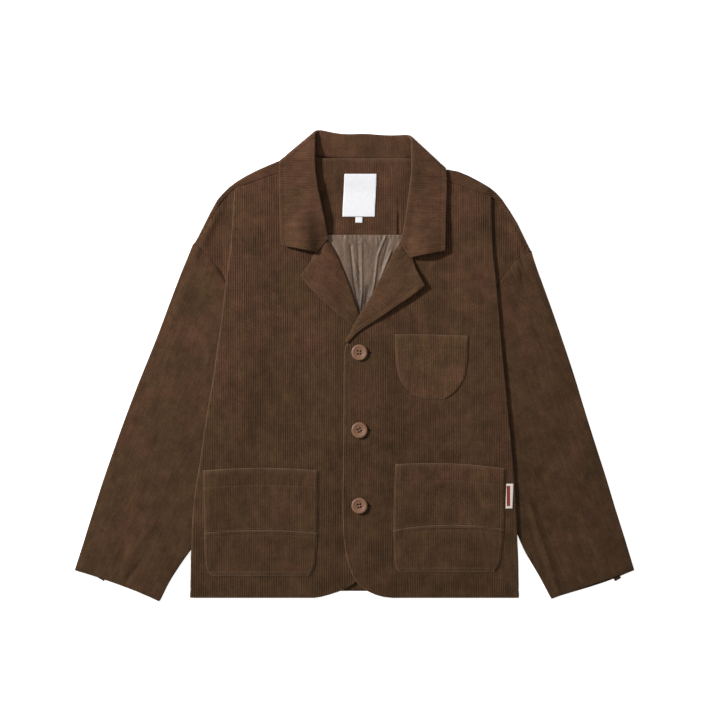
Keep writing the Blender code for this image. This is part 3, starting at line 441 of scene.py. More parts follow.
class Value:
    """A node's socket. Its operators add the Math nodes of an expression."""

    def __init__(self, finish, socket):
        self.finish, self.socket = finish, socket

    def math(self, kind, *values):
        return self.finish.add("ShaderNodeMath", {"operation": kind}, dict(enumerate(values)))

    __add__, __radd__ = operation("ADD"), operation("ADD", True)
    __sub__, __rsub__ = operation("SUBTRACT"), operation("SUBTRACT", True)
    __mul__, __rmul__ = operation("MULTIPLY"), operation("MULTIPLY", True)
    __pow__, __abs__ = operation("POWER"), operation("ABSOLUTE")
    part = operation("FRACT")

    def ramp(self, low, high):
        """0 below low, 1 above high and a smooth step between them."""
        return self.finish.add("ShaderNodeMapRange", {"interpolation_type": "SMOOTHSTEP"},
                               {"Value": self, "From Min": low, "From Max": high})


class Finish:
    """A material whose nodes are added by one method, behind a Principled shader."""

    def __init__(self, name, **constants):
        self.material = bpy.data.materials.new(name)
        self.material.use_nodes = True
        self.tree = self.material.node_tree
        self.shader = self.tree.nodes["Principled BSDF"]
        self.finish(**constants)

    def add(self, kind, settings=None, sockets=None, output=0):
        """Adds a node: its settings first, then the value or link of each named socket."""
        node = self.tree.nodes.new(kind)
        for name, value in (settings or {}).items():
            setattr(node, name, value)
        for name, value in (sockets or {}).items():
            self.connect(node.inputs[name], value)
        return Value(self, node.outputs[output])

    def connect(self, socket, value):
        if isinstance(value, Value):
            self.tree.links.new(value.socket, socket)
        else:
            socket.default_value = value

    def place(self):
        """Object coordinates in metres."""
        return self.add("ShaderNodeTexCoord", output="Object")

    def axis(self, vector, name):
        return self.add("ShaderNodeSeparateXYZ", None, {0: vector}, name)

    def cloth(self):
        """Millimetres across and along the grain."""
        uv = self.add("ShaderNodeUVMap", {"uv_map": "cloth"})
        return self.axis(uv, "X"), self.axis(uv, "Y")

    def noise(self, vector, scale, detail=2.0, roughness=0.5):
        return self.add("ShaderNodeTexNoise", None, {"Vector": vector, "Scale": scale,
                                                     "Detail": detail, "Roughness": roughness})

    def streaks(self, x, y, z, detail=2.0, roughness=0.5):
        """Noise drawn out by the scales that x and y were given."""
        vector = self.add("ShaderNodeCombineXYZ", None, {0: x, 1: y, 2: z})
        return self.noise(vector, 1.0, detail, roughness)

    def mix(self, share, first, second):
        """The first colour at share 0 and the second at 1."""
        first, second = ((*c, 1.0) if isinstance(c, tuple) else c for c in (first, second))
        return self.add("ShaderNodeMix", {"data_type": "RGBA"}, {0: share, 6: first, 7: second}, 2)

    def scale(self, colour, by):
        return self.add("ShaderNodeVectorMath", {"operation": "SCALE"}, {0: colour, "Scale": by})

    def bump(self, height, distance, strength):
        return self.add("ShaderNodeBump", None, {"Height": height, "Distance": distance,
                                                 "Strength": strength})

    def finish(self, **sockets):
        """Sets or links sockets of the shader, and gives the material."""
        for name, value in sockets.items():
            socket = name.replace("_", " ").title().replace("Ior", "IOR")
            self.connect(self.shader.inputs[socket], value)
        return self.material


def times(factor, colour):
    return tuple(factor * c for c in colour)


def corduroy(name, light=1.0, seed=0.0, strength=0.62):
    """Pile in wales: patches of a warmer and a cooler brown, grooves darkened by painted shade, more
    in some places than in others, streaks along the wales, a mottled grain, and rubbed edges that
    also carry painted highlights. A painted shade makes it darker towards the hem, standing in for
    the lamp's light falling off there, and it is cooler towards the hem."""
    s = jacket()
    cloth = Finish(name, roughness=0.9, sheen_weight=0.05, sheen_roughness=0.45,
                   specular_ior_level=0.12)
    across, along = cloth.cloth()
    place = cloth.place()
    shifted = cloth.add("ShaderNodeVectorMath", {"operation": "ADD"}, {0: place, 1: (seed, -seed, 0)})
    height = cloth.axis(place, "Y")
    warm = (cloth.noise(shifted, 12.0, 4.0, 0.62) + height * 0.32).ramp(0.38, 0.68)
    fine = cloth.noise(shifted, 60.0, 4.0, 0.6)
    grain = cloth.noise(shifted, 460.0, 2.0, 0.6)
    wander = cloth.streaks(across * 0.05, along * 0.012, seed)
    wale = 1 - abs((across * (1 / s.wale_pitch) + wander * 1.1).part() * 2 - 1) ** 2.2
    # Painted shade in the grooves between the wales, stronger in some places than in others.
    groove_painted_shade = strength * (0.3 + cloth.noise(shifted, 26.0, 3.0, 0.6).ramp(0.34, 0.66))
    streak = cloth.streaks(across * (0.62 / s.wale_pitch), along * 0.035, seed, 3.0, 0.65)
    pile = cloth.streaks(across * 0.9, along * 0.35, seed, 2.0, 0.6)
    shade = (1 - groove_painted_shade * (1 - wale)) * (0.52 + fine * 0.96) * (0.58 + streak * 0.84) * (0.6 + pile * 0.8)
    # Painted shade: lighter towards the collar and darker towards the hem, standing in for the lamp's
    # light falling off down the jacket.
    shade = shade * (1.01 + height * 0.22)
    colour = cloth.mix(warm, tuple(s.olive_brown), tuple(s.red_brown))
    colour = cloth.scale(colour, shade * (0.7 + grain * 0.6) * light)
    # Wear and painted highlight: the mesh attribute marks rubbed edges and also paints highlights along
    # lit edges, folds and seams, where the pile turns to the lighter brown.
    wear_and_highlight = cloth.add("ShaderNodeAttribute", {"attribute_name": "wear_and_highlight"}, None, "Fac")
    colour = cloth.mix((wear_and_highlight * (0.3 + fine * 0.6)).ramp(0.0, 1.15), colour, tuple(s.wear_and_highlight_brown))
    fuzz = cloth.noise(place, 900.0, 2.0, 0.7)
    return cloth.finish(base_color=colour, roughness=0.8 + fuzz * 0.15,
                        normal=cloth.bump(fuzz, 0.0005, 0.6))


def satin(name):
    """A fine twill that shines a little, with painted shade: darker in the troughs of its crinkles and
    towards its lower end, where the lapels shade it.
    """
    s = jacket()
    cloth = Finish(name, specular_ior_level=0.4, sheen_weight=0.05)
    across, along = cloth.cloth()
    soft = cloth.streaks(across * 0.12, along * 0.02, 3.0, 3.0, 0.6)
    twill = ((across + along) * 1.6).part()
    crinkle_and_painted_shade = cloth.streaks(across * 0.3, along * 0.13, 6.0, 4.0, 0.6)
    colour = cloth.mix(soft.ramp(0.3, 0.7), tuple(s.satin), times(1.45, s.satin))
    colour = cloth.scale(colour, 0.93 + twill * 0.1)
    # Painted shade: much darker towards the lower end, where the lapels shade the satin, and darker in
    # the troughs of the crinkle.
    colour = cloth.scale(colour, (0.52 + along.ramp(78.0, 160.0) * 0.56) * (0.7 + crinkle_and_painted_shade * 0.6))
    return cloth.finish(base_color=colour, roughness=0.4 + soft * 0.14,
                        normal=cloth.bump(twill * 0.2 + crinkle_and_painted_shade * 3, 0.0004, 0.6))


def woven(name, colour, block=None, sides=(0.0, 1.0), ends=(0.0, 1.0)):
    """A close plain weave for a label. A block of another colour may stand on it, between its sides
    and its ends."""
    cloth = Finish(name, roughness=0.75, specular_ior_level=0.3)
    across, along = cloth.cloth()
    weave = abs((across * 2.2).part() - 0.5) + abs((along * 2.2).part() - 0.5)
    shade = cloth.noise(cloth.place(), 160.0, 3.0)
    if block is not None:
        within = [at.ramp(low, low + 0.4) * (1 - at.ramp(high - 0.4, high))
                  for at, (low, high) in ((across, sides), (along, ends))]
        colour = cloth.mix(within[0] * within[1], colour, block)
    return cloth.finish(base_color=cloth.scale(colour, 0.86 + weave * 0.1 + shade * 0.1),
                        normal=cloth.bump(weave, 0.00015, 0.6))


def horn(name):
    """Polished resin with cloudy streaks and fine dots."""
    s = jacket()
    resin = Finish(name, coat_weight=0.12, coat_roughness=0.3)
    place = resin.place()
    stretched = resin.add("ShaderNodeMapping", None, {"Vector": place, "Scale": (160.0, 420.0, 160.0),
                                                      "Rotation": (0.0, 0.0, 0.5)})
    cloud = resin.noise(stretched, 1.0, 5.0, 0.65)
    dots = resin.noise(place, 2600.0, 2.0, 0.7)
    colour = resin.mix(cloud.ramp(0.3, 0.7), times(0.82, s.horn), times(1.15, s.horn))
    return resin.finish(base_color=resin.scale(colour, 0.86 + dots * 0.28),
                        roughness=0.36 + cloud * 0.16, normal=resin.bump(dots, 0.00006, 0.4))


def yarn(name, colour):
    """Twisted sewing thread."""
    thread = Finish(name, roughness=0.75, specular_ior_level=0.15)
    twist = thread.noise(thread.place(), 1500.0)
    return thread.finish(base_color=thread.mix(twist, colour, times(0.6, colour)),
                         normal=thread.bump(twist, 0.0001, 0.5))


def pale_floor(name):
    """White paper that glows a little, as on a light table, so that it takes no shadow."""
    floor = Finish(name, roughness=0.9, specular_ior_level=0.1, emission_strength=0.8,
                   emission_color=(1.0, 1.0, 1.0, 1.0))
    grain = floor.noise(floor.place(), 40.0)
    return floor.finish(base_color=floor.scale((0.93, 0.93, 0.935), 0.99 + grain * 0.02))


# How each finish is made: its function, and what it is told after the name.
FINISHES = {
    "body_corduroy": (corduroy, 1.09),
    "sleeve_corduroy": (corduroy, 0.98, 3.7, 0.22),
    "facing_corduroy": (corduroy, 1.02, 8.1, 0.4),
    "lapel_corduroy": (corduroy, 1.09, 21.7, 0.2),
    "collar_corduroy": (corduroy, 1.03, 5.6, 0.26),
    "pocket_corduroy": (corduroy, 1.09, 12.3, 0.4),
    "chest_corduroy": (corduroy, 1.22, 1.4, 0.25),
    "lining_satin": (satin,),
    "label_white": (woven, (0.98, 0.98, 1.0)),
    "label_cream": (woven, (0.84, 0.76, 0.66), (0.28, 0.038, 0.026), (226.9, 232.6), (-208.5, -177.8)),
    "button_horn": (horn,),
    "brown_thread": (yarn, (0.165, 0.097, 0.055)),
    # Near-black thread for the buttons and the buttonholes. Its darkness also stands in as painted shade
    # in the holes and in the slit of each buttonhole.
    "dark_thread": (yarn, (0.03, 0.019, 0.013)),
    "pale_floor": (pale_floor,),
}


def finish_of(name):
    """The material of that name, made when it is first asked for."""
    make, *told = FINISHES[name]
    return bpy.data.materials.get(name) or make(name, *told)


# ---------------------------------------------------------------- curves and heights

def step(t):
    """Smooth step: 3 t squared - 2 t cubed between 0 and 1."""
    t = np.clip(t, 0.0, 1.0)
    return t * t * (3.0 - 2.0 * t)


def between(value, first, last):
    """0 up to the first place, 1 from the last one on, and a smooth step from one to the other."""
    return step((value - first) / (last - first))


def bell(distance, width):
    """1 on a line, falling off on both sides as e to the power -(distance / width) squared."""
    return np.exp(-(distance / width)**2)


def arch(t):
    """0 at both ends and 1 in the middle, as 4 t (1 - t)."""
    return 4 * t * (1 - t)


def curve(at, xs, ys):
    """Smooth curve through the rows: cubic pieces whose slopes come from the neighbouring rows."""
    slope = np.gradient(ys, xs)
    i = np.clip(np.searchsorted(xs, at) - 1, 0, len(xs) - 2)
    h = xs[i + 1] - xs[i]
    t = np.clip((at - xs[i]) / h, 0.0, 1.0)
    return ((2 * t**3 - 3 * t**2 + 1) * ys[i] + (t**3 - 2 * t**2 + t) * h * slope[i]
            + (3 * t**2 - 2 * t**3) * ys[i + 1] + (t**3 - t**2) * h * slope[i + 1])


def unit(vectors):
    """Each vector made one long."""
    return vectors / np.linalg.norm(vectors, axis=-1, keepdims=True)


def points_of(rows, name):
    """The points in a table's columns NAME_x and NAME_y."""
    return np.c_[rows[name + "_x"], rows[name + "_y"]]


def run_along(line):
    """Distance of each point from the start of its line."""
    return np.concatenate([[0], np.cumsum(np.linalg.norm(np.diff(line, axis=0), axis=1))])


def at_run(line, at, run):
    """The points at these distances along a line whose own points lie at those of run."""
    return np.stack([np.interp(at, run, column) for column in line.T], -1)


def normals_towards(line, target):
    """Unit normals of a line of points, on the side where the target lies."""
    along = np.gradient(line, axis=0)
    square = unit(np.stack([-along[:, 1], along[:, 0]], -1))
    return square * np.sign(np.sum(square * (target - line), axis=1))[:, None]


def from_line(x, y, line):
    """Distance of each point from a line of points: the least over its straight pieces."""
    least = np.full(np.shape(x), 1e9)
    for (x0, y0), (x1, y1) in zip(line[:-1], line[1:]):
        dx, dy = x1 - x0, y1 - y0
        t = np.clip(((x - x0) * dx + (y - y0) * dy) / (dx * dx + dy * dy), 0, 1)
        least = np.minimum(least, np.hypot(x - x0 - t * dx, y - y0 - t * dy))
    return least


def sides_at(rows, y):
    """Left and right side of a piece at these heights."""
    return [np.interp(y, rows["y"], rows[name]) for name in ("left", "right")]


def by_side(x, y, columns, suffix=""):
    """A table's right or left column at height y, for the side that each point is on."""
    right, left = (np.interp(y, columns["y"], columns[name + suffix]) for name in SIDES)
    return np.where(x < 0, right, left)


def creases(x, y, rows):
    """Sum of soft ridges: each falls off as a bell across its line and towards both ends."""
    total = np.zeros(np.broadcast_shapes(np.shape(x), np.shape(y)))
    for x0, y0, x1, y1, width, height in zip(*rows.values()):
        length = math.hypot(x1 - x0, y1 - y0)
        ux, uy = (x1 - x0) / length, (y1 - y0) / length
        along = (x - x0) * ux + (y - y0) * uy
        across = (x - x0) * uy - (y - y0) * ux
        past = np.maximum(0.0, np.maximum(-along, along - length))
        total += height * np.exp(-(across**2 + past**2) / width**2)
    return total


def front_rise(x, y):
    """Height that the fronts gain over the sleeves and the armhole tucks."""
    under = np.abs(by_side(x, y, BODY, "_under"))
    return FRONT_RISE * by_side(x, y, RISE) * step((np.abs(x) - under + RAMP) / RAMP)


def front_right_z(x, y):
    """Middle surface of the right front, a millimetre lower beneath the left one."""
    settled = between(x, *SETTLED_SPAN) * creases(x, y, FRONT_CREASES)
    return FRONT_LEVEL + front_rise(x, y) + settled - between(x, *UNDER_SPAN)


def front_left_z(x, y):
    """Middle surface of the left front, lifted where it lies on the right one."""
    lap = LAP_STEP * (1 - between(x, *LAP_SPAN))
    return FRONT_LEVEL + lap + front_rise(x, y) + creases(x, y, FRONT_CREASES)


FRONT_Z = {"right": front_right_z, "left": front_left_z}


def back_z(x, y):
    """Middle surface of the back: flat, and lifted at the neck over the collar's fall."""
    right, left = FALL_SPAN
    window = step((x - right) / 20) * step((left - x) / 20)
    return BACK_LEVEL + SLEEVE_STEP * window * step((y - FALL_FOOT_Y) / 30)


def sleeve_low_z(x, y):
    """Middle surface of a sleeve's lower wall: on the surface, or lifted on the edge of the back."""
    edge = np.abs(by_side(x, y, BODY, "_fold")) - 4
    seam = np.abs(by_side(x, y, ARMHOLE))
    edge = np.where(y > ARMHOLE_TURN_Y, np.maximum(edge, seam), edge)
    return BACK_LEVEL + SLEEVE_STEP * step((edge + 34 - np.abs(x)) / 30)


def sleeve_gap(x, y, across):
    """Air inside a sleeve: least beneath the body, most along the middle of what is free."""
    fold = np.abs(by_side(x, y, BODY, "_fold"))
    free = step((np.abs(x) - fold - 4) / 26)
    puff = 1.9 * (1 - (2 * across - 1)**4) + creases(x, y, SLEEVE_CREASES)
    return 0.7 + np.clip(free * puff, -0.05, 3.1)


# ---------------------------------------------------------------- cloth walls

def ribs(across, share=1.0, level=0.75):
    """Relief of the wales over the cloth's surface: (1 - |2 p - 1| to the power 2.5 - level) times
    their height, with p the share of the way across a wale."""
    p = np.mod(across / jacket().wale_pitch, 1.0)
    return share * jacket().wale_height * (1 - np.abs(2 * p - 1)**2.5 - level)


def marks(low, high, spacing, lines=()):
    """Rows from low to high about spacing apart, closer beside both ends and beside each line."""
    even = np.linspace(low, high, max(3, int(round((high - low) / spacing)) + 1))
    ends = np.concatenate([low + ROUNDING, high - ROUNDING])
    near = [line + k for line in lines for k in (-2.4, -1.2, 0, 1.2, 2.4)]
    at = np.unique(np.clip(np.concatenate([even, ends, near]), low, high))
    at = at[np.insert(np.diff(at) > 0.25, 0, True)]
    at[-1] = high
    return at


def wale_columns(low, high):
    """Positions across the cloth, four to a wale, so that each groove and each ridge has its own."""
    pitch = jacket().wale_pitch / COLUMNS_PER_WALE
    return np.arange(math.floor(low / pitch), math.ceil(high / pitch) + 1) * pitch


def clipped(low, high, columns=None):
    """For each row, the columns held between its two sides, with three more along each side."""
    if columns is None:
        columns = wale_columns(low.min(), high.max())
    low, high = low[:, None], high[:, None]
    inset = ROUNDING * np.minimum(1.0, (high - low) / 3.0)
    middle = np.clip(columns[None, :], low + inset[:, -1:], high - inset[:, -1:])
    return np.hstack([low + inset, middle, high - inset[:, ::-1]])


def rounded(distance, wall):
    """Half of the wall's thickness, which falls to 0 at its border along a quarter of an ellipse."""
    share = np.clip(distance / ROUNDING[-1], 0.0, 1.0)
    return wall / 2 * np.sqrt(np.clip(1 - (1 - share)**2, 0.0, 1.0))


def beside(x):
    """Distance across from the nearer end of each row."""
    return np.minimum(np.abs(x - x[:, :1]), np.abs(x[:, -1:] - x))


def from_border(x, y):
    """Distance of each grid point from the nearest side of the grid, along its row or column."""
    return np.minimum(beside(x), beside(y.T).T)


def joined(bands):
    """Grids side by side: every band tells the same values, each spread over its own columns."""
    return [np.hstack(columns) for columns in zip(*(np.broadcast_arrays(*band) for band in bands))]


def part(x, y, z, half, relief=0.0, uv=None, normal=UP, wear_and_highlight=0.0, inner=0.0, keep=True):
    """One closed wall of a piece, as a grid; wall() says what its values are."""
    x, y, z = np.broadcast_arrays(x, y, z)
    made = {"middle": np.stack([x, y, z], -1), "normal": np.broadcast_to(normal, (*x.shape, 3)),
            "uv": np.stack(np.broadcast_arrays(*(uv or (x, y))), -1), "keep": keep}
    for name, value in (("half", half), ("relief", relief), ("inner", inner), ("wear_and_highlight", wear_and_highlight)):
        made[name] = np.broadcast_to(value, x.shape)
    return made


def new_mesh(name, points, faces, corner_uv=None, finish=None, wear_and_highlight=None):
    """A mesh object from points in millimetres, with one material slot, one UV map and its wear, which
    also marks painted highlights.
    """
    mesh = bpy.data.meshes.new(name)
    mesh.from_pydata((points * MM).tolist(), [], faces)
    if corner_uv is not None:
        layer = mesh.uv_layers.new(name="cloth")
        layer.data.foreach_set("uv", corner_uv.astype(np.float32).ravel())
    if wear_and_highlight is not None:
        mesh.attributes.new("wear_and_highlight", "FLOAT", "POINT").data.foreach_set("value", wear_and_highlight.astype(np.float32))
    mesh.update()
    mesh.shade_smooth()
    made = bpy.data.objects.new(name, mesh)
    bpy.context.scene.collection.objects.link(made)
    if finish is not None:
        mesh.materials.append(finish)
    return made


def wall(parts, name, finish):
    """A piece of cloth out of one or more walls, each closed in itself.

    Each part is a grid: its middle surface, the normal of its right side, half of its thickness, the
    relief of the right side and of the inner one, its UV in millimetres, its wear and painted highlight
    from 0 to 1 and the cells that are kept. The right side is middle + normal (half + relief), the
    other side is middle - normal (half + inner), and a rim joins them. Points that fall together are
    made one, and the faces that close up are left out.
    """
    all_points, all_uv, all_wear_and_highlight, all_faces = [], [], [], []
    start = 0
    for grid in parts:
        middle, normal, half = grid["middle"], grid["normal"], grid["half"][..., None]
        fullness = half / max(half.max(), 1e-6)
        outer = middle + normal * (half + grid["relief"][..., None] * fullness)
        inner = middle - normal * (half + grid["inner"][..., None] * fullness)
        rows, columns = middle.shape[:2]
        count = rows * columns
        index = np.arange(count).reshape(rows, columns)
        cells = np.stack([index[:-1, :-1], index[:-1, 1:], index[1:, 1:], index[1:, :-1]], axis=-1)
        cells = cells[np.broadcast_to(grid["keep"], cells.shape[:2])]
        flat = middle.reshape(-1, 3)
        facing = np.cross(flat[cells[:, 2]] - flat[cells[:, 0]], flat[cells[:, 3]] - flat[cells[:, 1]])
        if (facing * normal.reshape(-1, 3)[cells[:, 0]]).sum() < 0:
            cells = cells[:, ::-1]
        edges = np.concatenate([cells[:, [0, 1]], cells[:, [1, 2]], cells[:, [2, 3]], cells[:, [3, 0]]])
        key = np.sort(edges, axis=1) @ np.array([count, 1])
        _, first, times_used = np.unique(key, return_index=True, return_counts=True)
        border = edges[first[times_used == 1]]
        rim = np.stack([border[:, 1], border[:, 0], border[:, 0] + count, border[:, 1] + count], -1)
        all_faces.append(np.concatenate([cells, cells[:, ::-1] + count, rim]) + start)
        all_points.append(np.concatenate([outer.reshape(-1, 3), inner.reshape(-1, 3)]))
        all_uv.append(np.tile(grid["uv"].reshape(-1, 2), (2, 1)))
        all_wear_and_highlight.append(np.tile(grid["wear_and_highlight"].ravel(), 2))
        start += 2 * count
    points, uv, wear_and_highlight, faces = (np.concatenate(each)
                               for each in (all_points, all_uv, all_wear_and_highlight, all_faces))

    cell = np.round(points / WELD).astype(np.int64) + 2**20
    _, first, weld = np.unique((cell[:, 0] << 42) + (cell[:, 1] << 21) + cell[:, 2],
                               return_index=True, return_inverse=True)
    weld = weld.reshape(-1)
    welded = weld[faces]
    same = welded == np.roll(welded, -1, axis=1)
    crossed = (welded[:, 0] == welded[:, 2]) | (welded[:, 1] == welded[:, 3])
    quads = (same.sum(axis=1) == 0) & ~crossed
    shut = (same.sum(axis=1) == 1) & ~crossed
    order = np.array([[1, 2, 3], [0, 2, 3], [0, 1, 3], [0, 1, 2]])[np.argmax(same[shut], axis=1)]
    triangles = np.take_along_axis(faces[shut], order, axis=1)
    used, new = np.unique(np.concatenate([welded[quads].ravel(), weld[triangles].ravel()]),
                          return_inverse=True)
    count = quads.sum() * 4
    lists = new[:count].reshape(-1, 4).tolist() + new[count:].reshape(-1, 3).tolist()
    corner_uv = np.concatenate([uv[faces[quads]].reshape(-1, 2), uv[triangles].reshape(-1, 2)])
    return new_mesh(name, points[first][used], lists, corner_uv, finish, wear_and_highlight[first][used])


def cloth_piece(piece, parts, finish, node):
    """Adds a piece of cloth, hides the solid that it replaces and fixes the piece to the jacket."""
    made = wall(parts, piece, finish_of(finish))
    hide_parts(node)
    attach(made, "root")


# ---------------------------------------------------------------- shapes of the pieces

def front_parts(name, lines=()):
    """A front: its top layer, the half circle at its side, the layer under it, and the tuck.

    Across a row the middle surface runs level to the side, round a half circle of radius TURN, back
    inward over TUCK_DEPTH and, above the underarm, round a second half circle and out to the armhole.
    """
    side, rows, shoulder, z_at = SIDES[name], FRONT[name], SHOULDER[name], FRONT_Z[name]
    corner, last = FOLD_TOP[name], rows["y"][-1]
    y = np.unique(np.concatenate([
        marks(rows["y"][0], last, ROW_SPACING, (*lines, corner - 2.5)),
        [k for k in rows["y"] if k < -280 or k > corner - 4],
        [corner, corner + 0.2], np.arange(corner + 1.7, last - 1.2, SHOULDER_SPACING)]))
    edge = curve(y, rows["y"], rows["edge"]) * side
    side_x = np.interp(y, rows["y"], rows["side"]) * side
    folded = y <= corner
    steep = np.where(folded, 1, np.minimum(np.sqrt(1 + np.gradient(side_x, y)**2), 4))
    tuck = SHOULDER_TUCK * (0.35 + 0.65 * step((y - corner) / 5))
    reach = side_x + np.where(folded, -WALL / 2 - TURN, tuck * steep)
    top = clipped(edge, reach)[:, :-2]
    top[:, -1] = reach
    top[:, -2] = np.minimum(top[:, -2], reach - 0.05)

    seam = np.abs(np.interp(y, shoulder["seam_y"], shoulder["seam_x"]))
    armhole = np.abs(np.interp(y, ARMHOLE["y"], ARMHOLE[name]))
    on_shoulder = y > shoulder["seam_y"][0]
    end = np.where(on_shoulder, seam + 2.8, armhole + 0.1)
    yy, reach, steep, folded, side_x, seam, on_shoulder = (
        each[:, None] for each in (y, reach, steep, folded, side_x, seam, on_shoulder))
    sine, cosine = np.sin(HALF_TURN), np.cos(HALF_TURN)
    under = reach - np.linspace(0, 1, 6) * TUCK_DEPTH
    out = clipped(under[:, -1] + 0.01, np.maximum(end, under[:, -1] + 4), wale_columns(*ARMHOLE_SPAN))
    out = out[:, 3:]
    dip = SEAM_DIP["shoulder"] * step(((top - side_x) / steep + 0.7) / 2.4)
    top_z = z_at(top * side, yy) - np.where(folded, 0, dip)
    turn_z = z_at(top[:, -1:] * side, yy) - TURN * (1 - cosine)
    under_z = z_at(under * side, yy) - 2 * TURN
    behind_z = under_z[:, -1:] - TURN * (1 - cosine)
    out_z = (under_z[:, -1:] - 2 * TURN + creases(out * side, yy, SHOULDER_CREASES)
             - np.where(on_shoulder, SEAM_DIP["armhole"] * step((out - seam + 0.8) / 2.6), 0))

    arc = TURN + WALL / 2
    behind = reach + arc * math.pi + TUCK_DEPTH
    from_edge = np.abs(top - top[:, :1])
    from_side = np.where(folded, FAR, np.abs(reach - top) / steep)
    s, z, nx, nz, across, from_edge, border = joined([
        (top, top_z, 0, 1, top, from_edge, np.minimum(from_edge, from_side)),
        (reach + TURN * sine, turn_z, sine, cosine, reach + arc * HALF_TURN, FAR, FAR),
        (under, under_z, 0, -1, behind - (under - under[:, -1:]), FAR, FAR),
        (under[:, -1:] - TURN * sine, behind_z, sine, -cosine, behind + TURN * HALF_TURN, FAR, FAR),
        (out, out_z, 0, 1, out, FAR, out[:, -1:] - out)])
    ends = np.minimum(yy - y[0], y[-1] - yy)
    half = rounded(np.minimum(border, ends), WALL)
    drawn = 0.25 * bell(ends - HEM_STITCH, 1.2) + 0.3 * bell(from_edge - EDGE_STITCH, 1.2)
    from_fold = np.abs(across - reach - 0.5 * arc)
    # Wear and painted highlight: light lines along the front edge, along the lit fold at the side and
    # along the hem.
    wear_and_highlight = (1.1 * bell(from_edge, 1.3) + 0.7 * bell(from_fold, 1.5) * folded
            + 0.5 * bell(yy - y[0], 1.0))
    keep = np.ones((len(y) - 1, s.shape[1] - 1), bool)
    folded = folded[1:, 0]
    keep[~folded, top.shape[1] - 1:] = False
    keep[~(folded & (y[:-1] > TUCK_FOOT_Y)), top.shape[1] + len(sine) + under.shape[1] - 1:] = False
    normal = np.stack([side * nx, 0 * nx, nz], -1)
    return [part(s * side, yy, z, half, ribs(across) - drawn, (across, yy), normal, wear_and_highlight, keep=keep)]


def shoulder_strip(name):
    """A strip of the back that rolls forward over a shoulder, round a half circle, and runs down to
    the shoulder seam. Gives the strip and the line on the back where it starts."""
    side, edge, seam = SIDES[name], points_of(SHOULDER[name], "edge"), points_of(SHOULDER[name], "seam")
    inward = normals_towards(edge, seam)
    low, over = back_z(*edge.T), FRONT_LEVEL + front_rise(*seam.T)
    inner = np.interp(seam[:, 1], BODY["y"], BODY[name + "_fold"])
    tuck = FRONT_LEVEL + front_rise(inner - side * (TUCK_DEPTH + 2), seam[:, 1]) - 4 * TURN
    over = np.where(np.abs(seam[:, 0]) > STRIP_ON_TUCK[name], np.maximum(tuck, low + 2.2), over)
    over[0] = low[0] + 1.0
    radius = (over - low) / 2
    start = edge + inward * (radius + WALL / 2)[:, None]
    station, x = np.arange(len(edge), dtype=float), np.abs(start[:, 0])
    fine = np.interp(wale_columns(x.min(), x.max()), x[::-1], station[::-1])
    fine = np.unique(np.concatenate([[0], fine, [station[-1]]]))
    foot, inward, seam, radius, low = (at_run(each, fine, station) for each in
                                       (start, inward, seam, radius[:, None], low[:, None]))
    inward = unit(inward)
    angle, share = np.linspace(0, math.pi, 11), np.array([0.2, 0.4, 0.6, 0.8, 0.9, 0.96, 1.0])
    down = seam - foot
    length = np.linalg.norm(down, axis=1)[:, None]
    along_band = share * np.maximum(length - 0.1, 0.3) / length
    rolled_z = low + radius * (1 - np.cos(angle))
    turn_x, turn_y = (-inward[:, k:k + 1] * np.sin(angle) for k in (0, 1))
    x, y, z, nx, ny, nz = joined([
        (foot[:, :1] + radius * turn_x, foot[:, 1:] + radius * turn_y, rolled_z,
         turn_x, turn_y, -np.cos(angle)),
        (foot[:, :1] + down[:, :1] * along_band, foot[:, 1:] + down[:, 1:] * along_band,
         rolled_z[:, -1:] - 0.5 * share**8, 0, 0, 1)])
    points = np.stack([x, y, z], -1)
    run = np.cumsum(np.linalg.norm(np.diff(points, axis=1, prepend=points[:, :1]), axis=2), axis=1)
    uv = [foot[:, k:k + 1] - inward[:, k:k + 1] * run for k in (0, 1)]
    return part(x, y, z, rounded(run[:, -1:] - run, WALL), ribs(uv[0], 0.3), uv,
                np.stack([nx, ny, nz], -1)), start


def back_parts():
    """The back: a flat panel whose rows and columns are held inside its outline, and a strip over
    each shoulder."""
    (right, right_start), (left, left_start) = (shoulder_strip(name) for name in SIDES)
    top_x, top_y = np.concatenate([right_start, [[-84, NECK_SEAM_Y], [106, NECK_SEAM_Y]],
                                   left_start[::-1]]).T
    y = marks(HEM_Y, NECK_SEAM_Y, ROW_SPACING)
    low, high = (np.interp(y, [*BACK_SIDE["y"], top_y[k]], [*BACK_SIDE[name], top_x[k]])
                 for name, k in (("right", 0), ("left", -1)))
    x = clipped(low, high, wale_columns(top_x[0], top_x[-1]))
    y = np.minimum(y[:, None], np.interp(x, top_x, top_y))
    sides = np.where(y > 168, FAR, beside(x))
    y = y + BACK_HEM_RISE * (1 - step((y - HEM_Y) / 30)) * (1 - step((np.abs(x - 2) - 45) / 25))
    half = rounded(np.minimum(sides, y - y[:1]), WALL)
    return [right, left, part(x, y, back_z(x, y), half, ribs(x), normal=-UP, inner=ribs(x))]


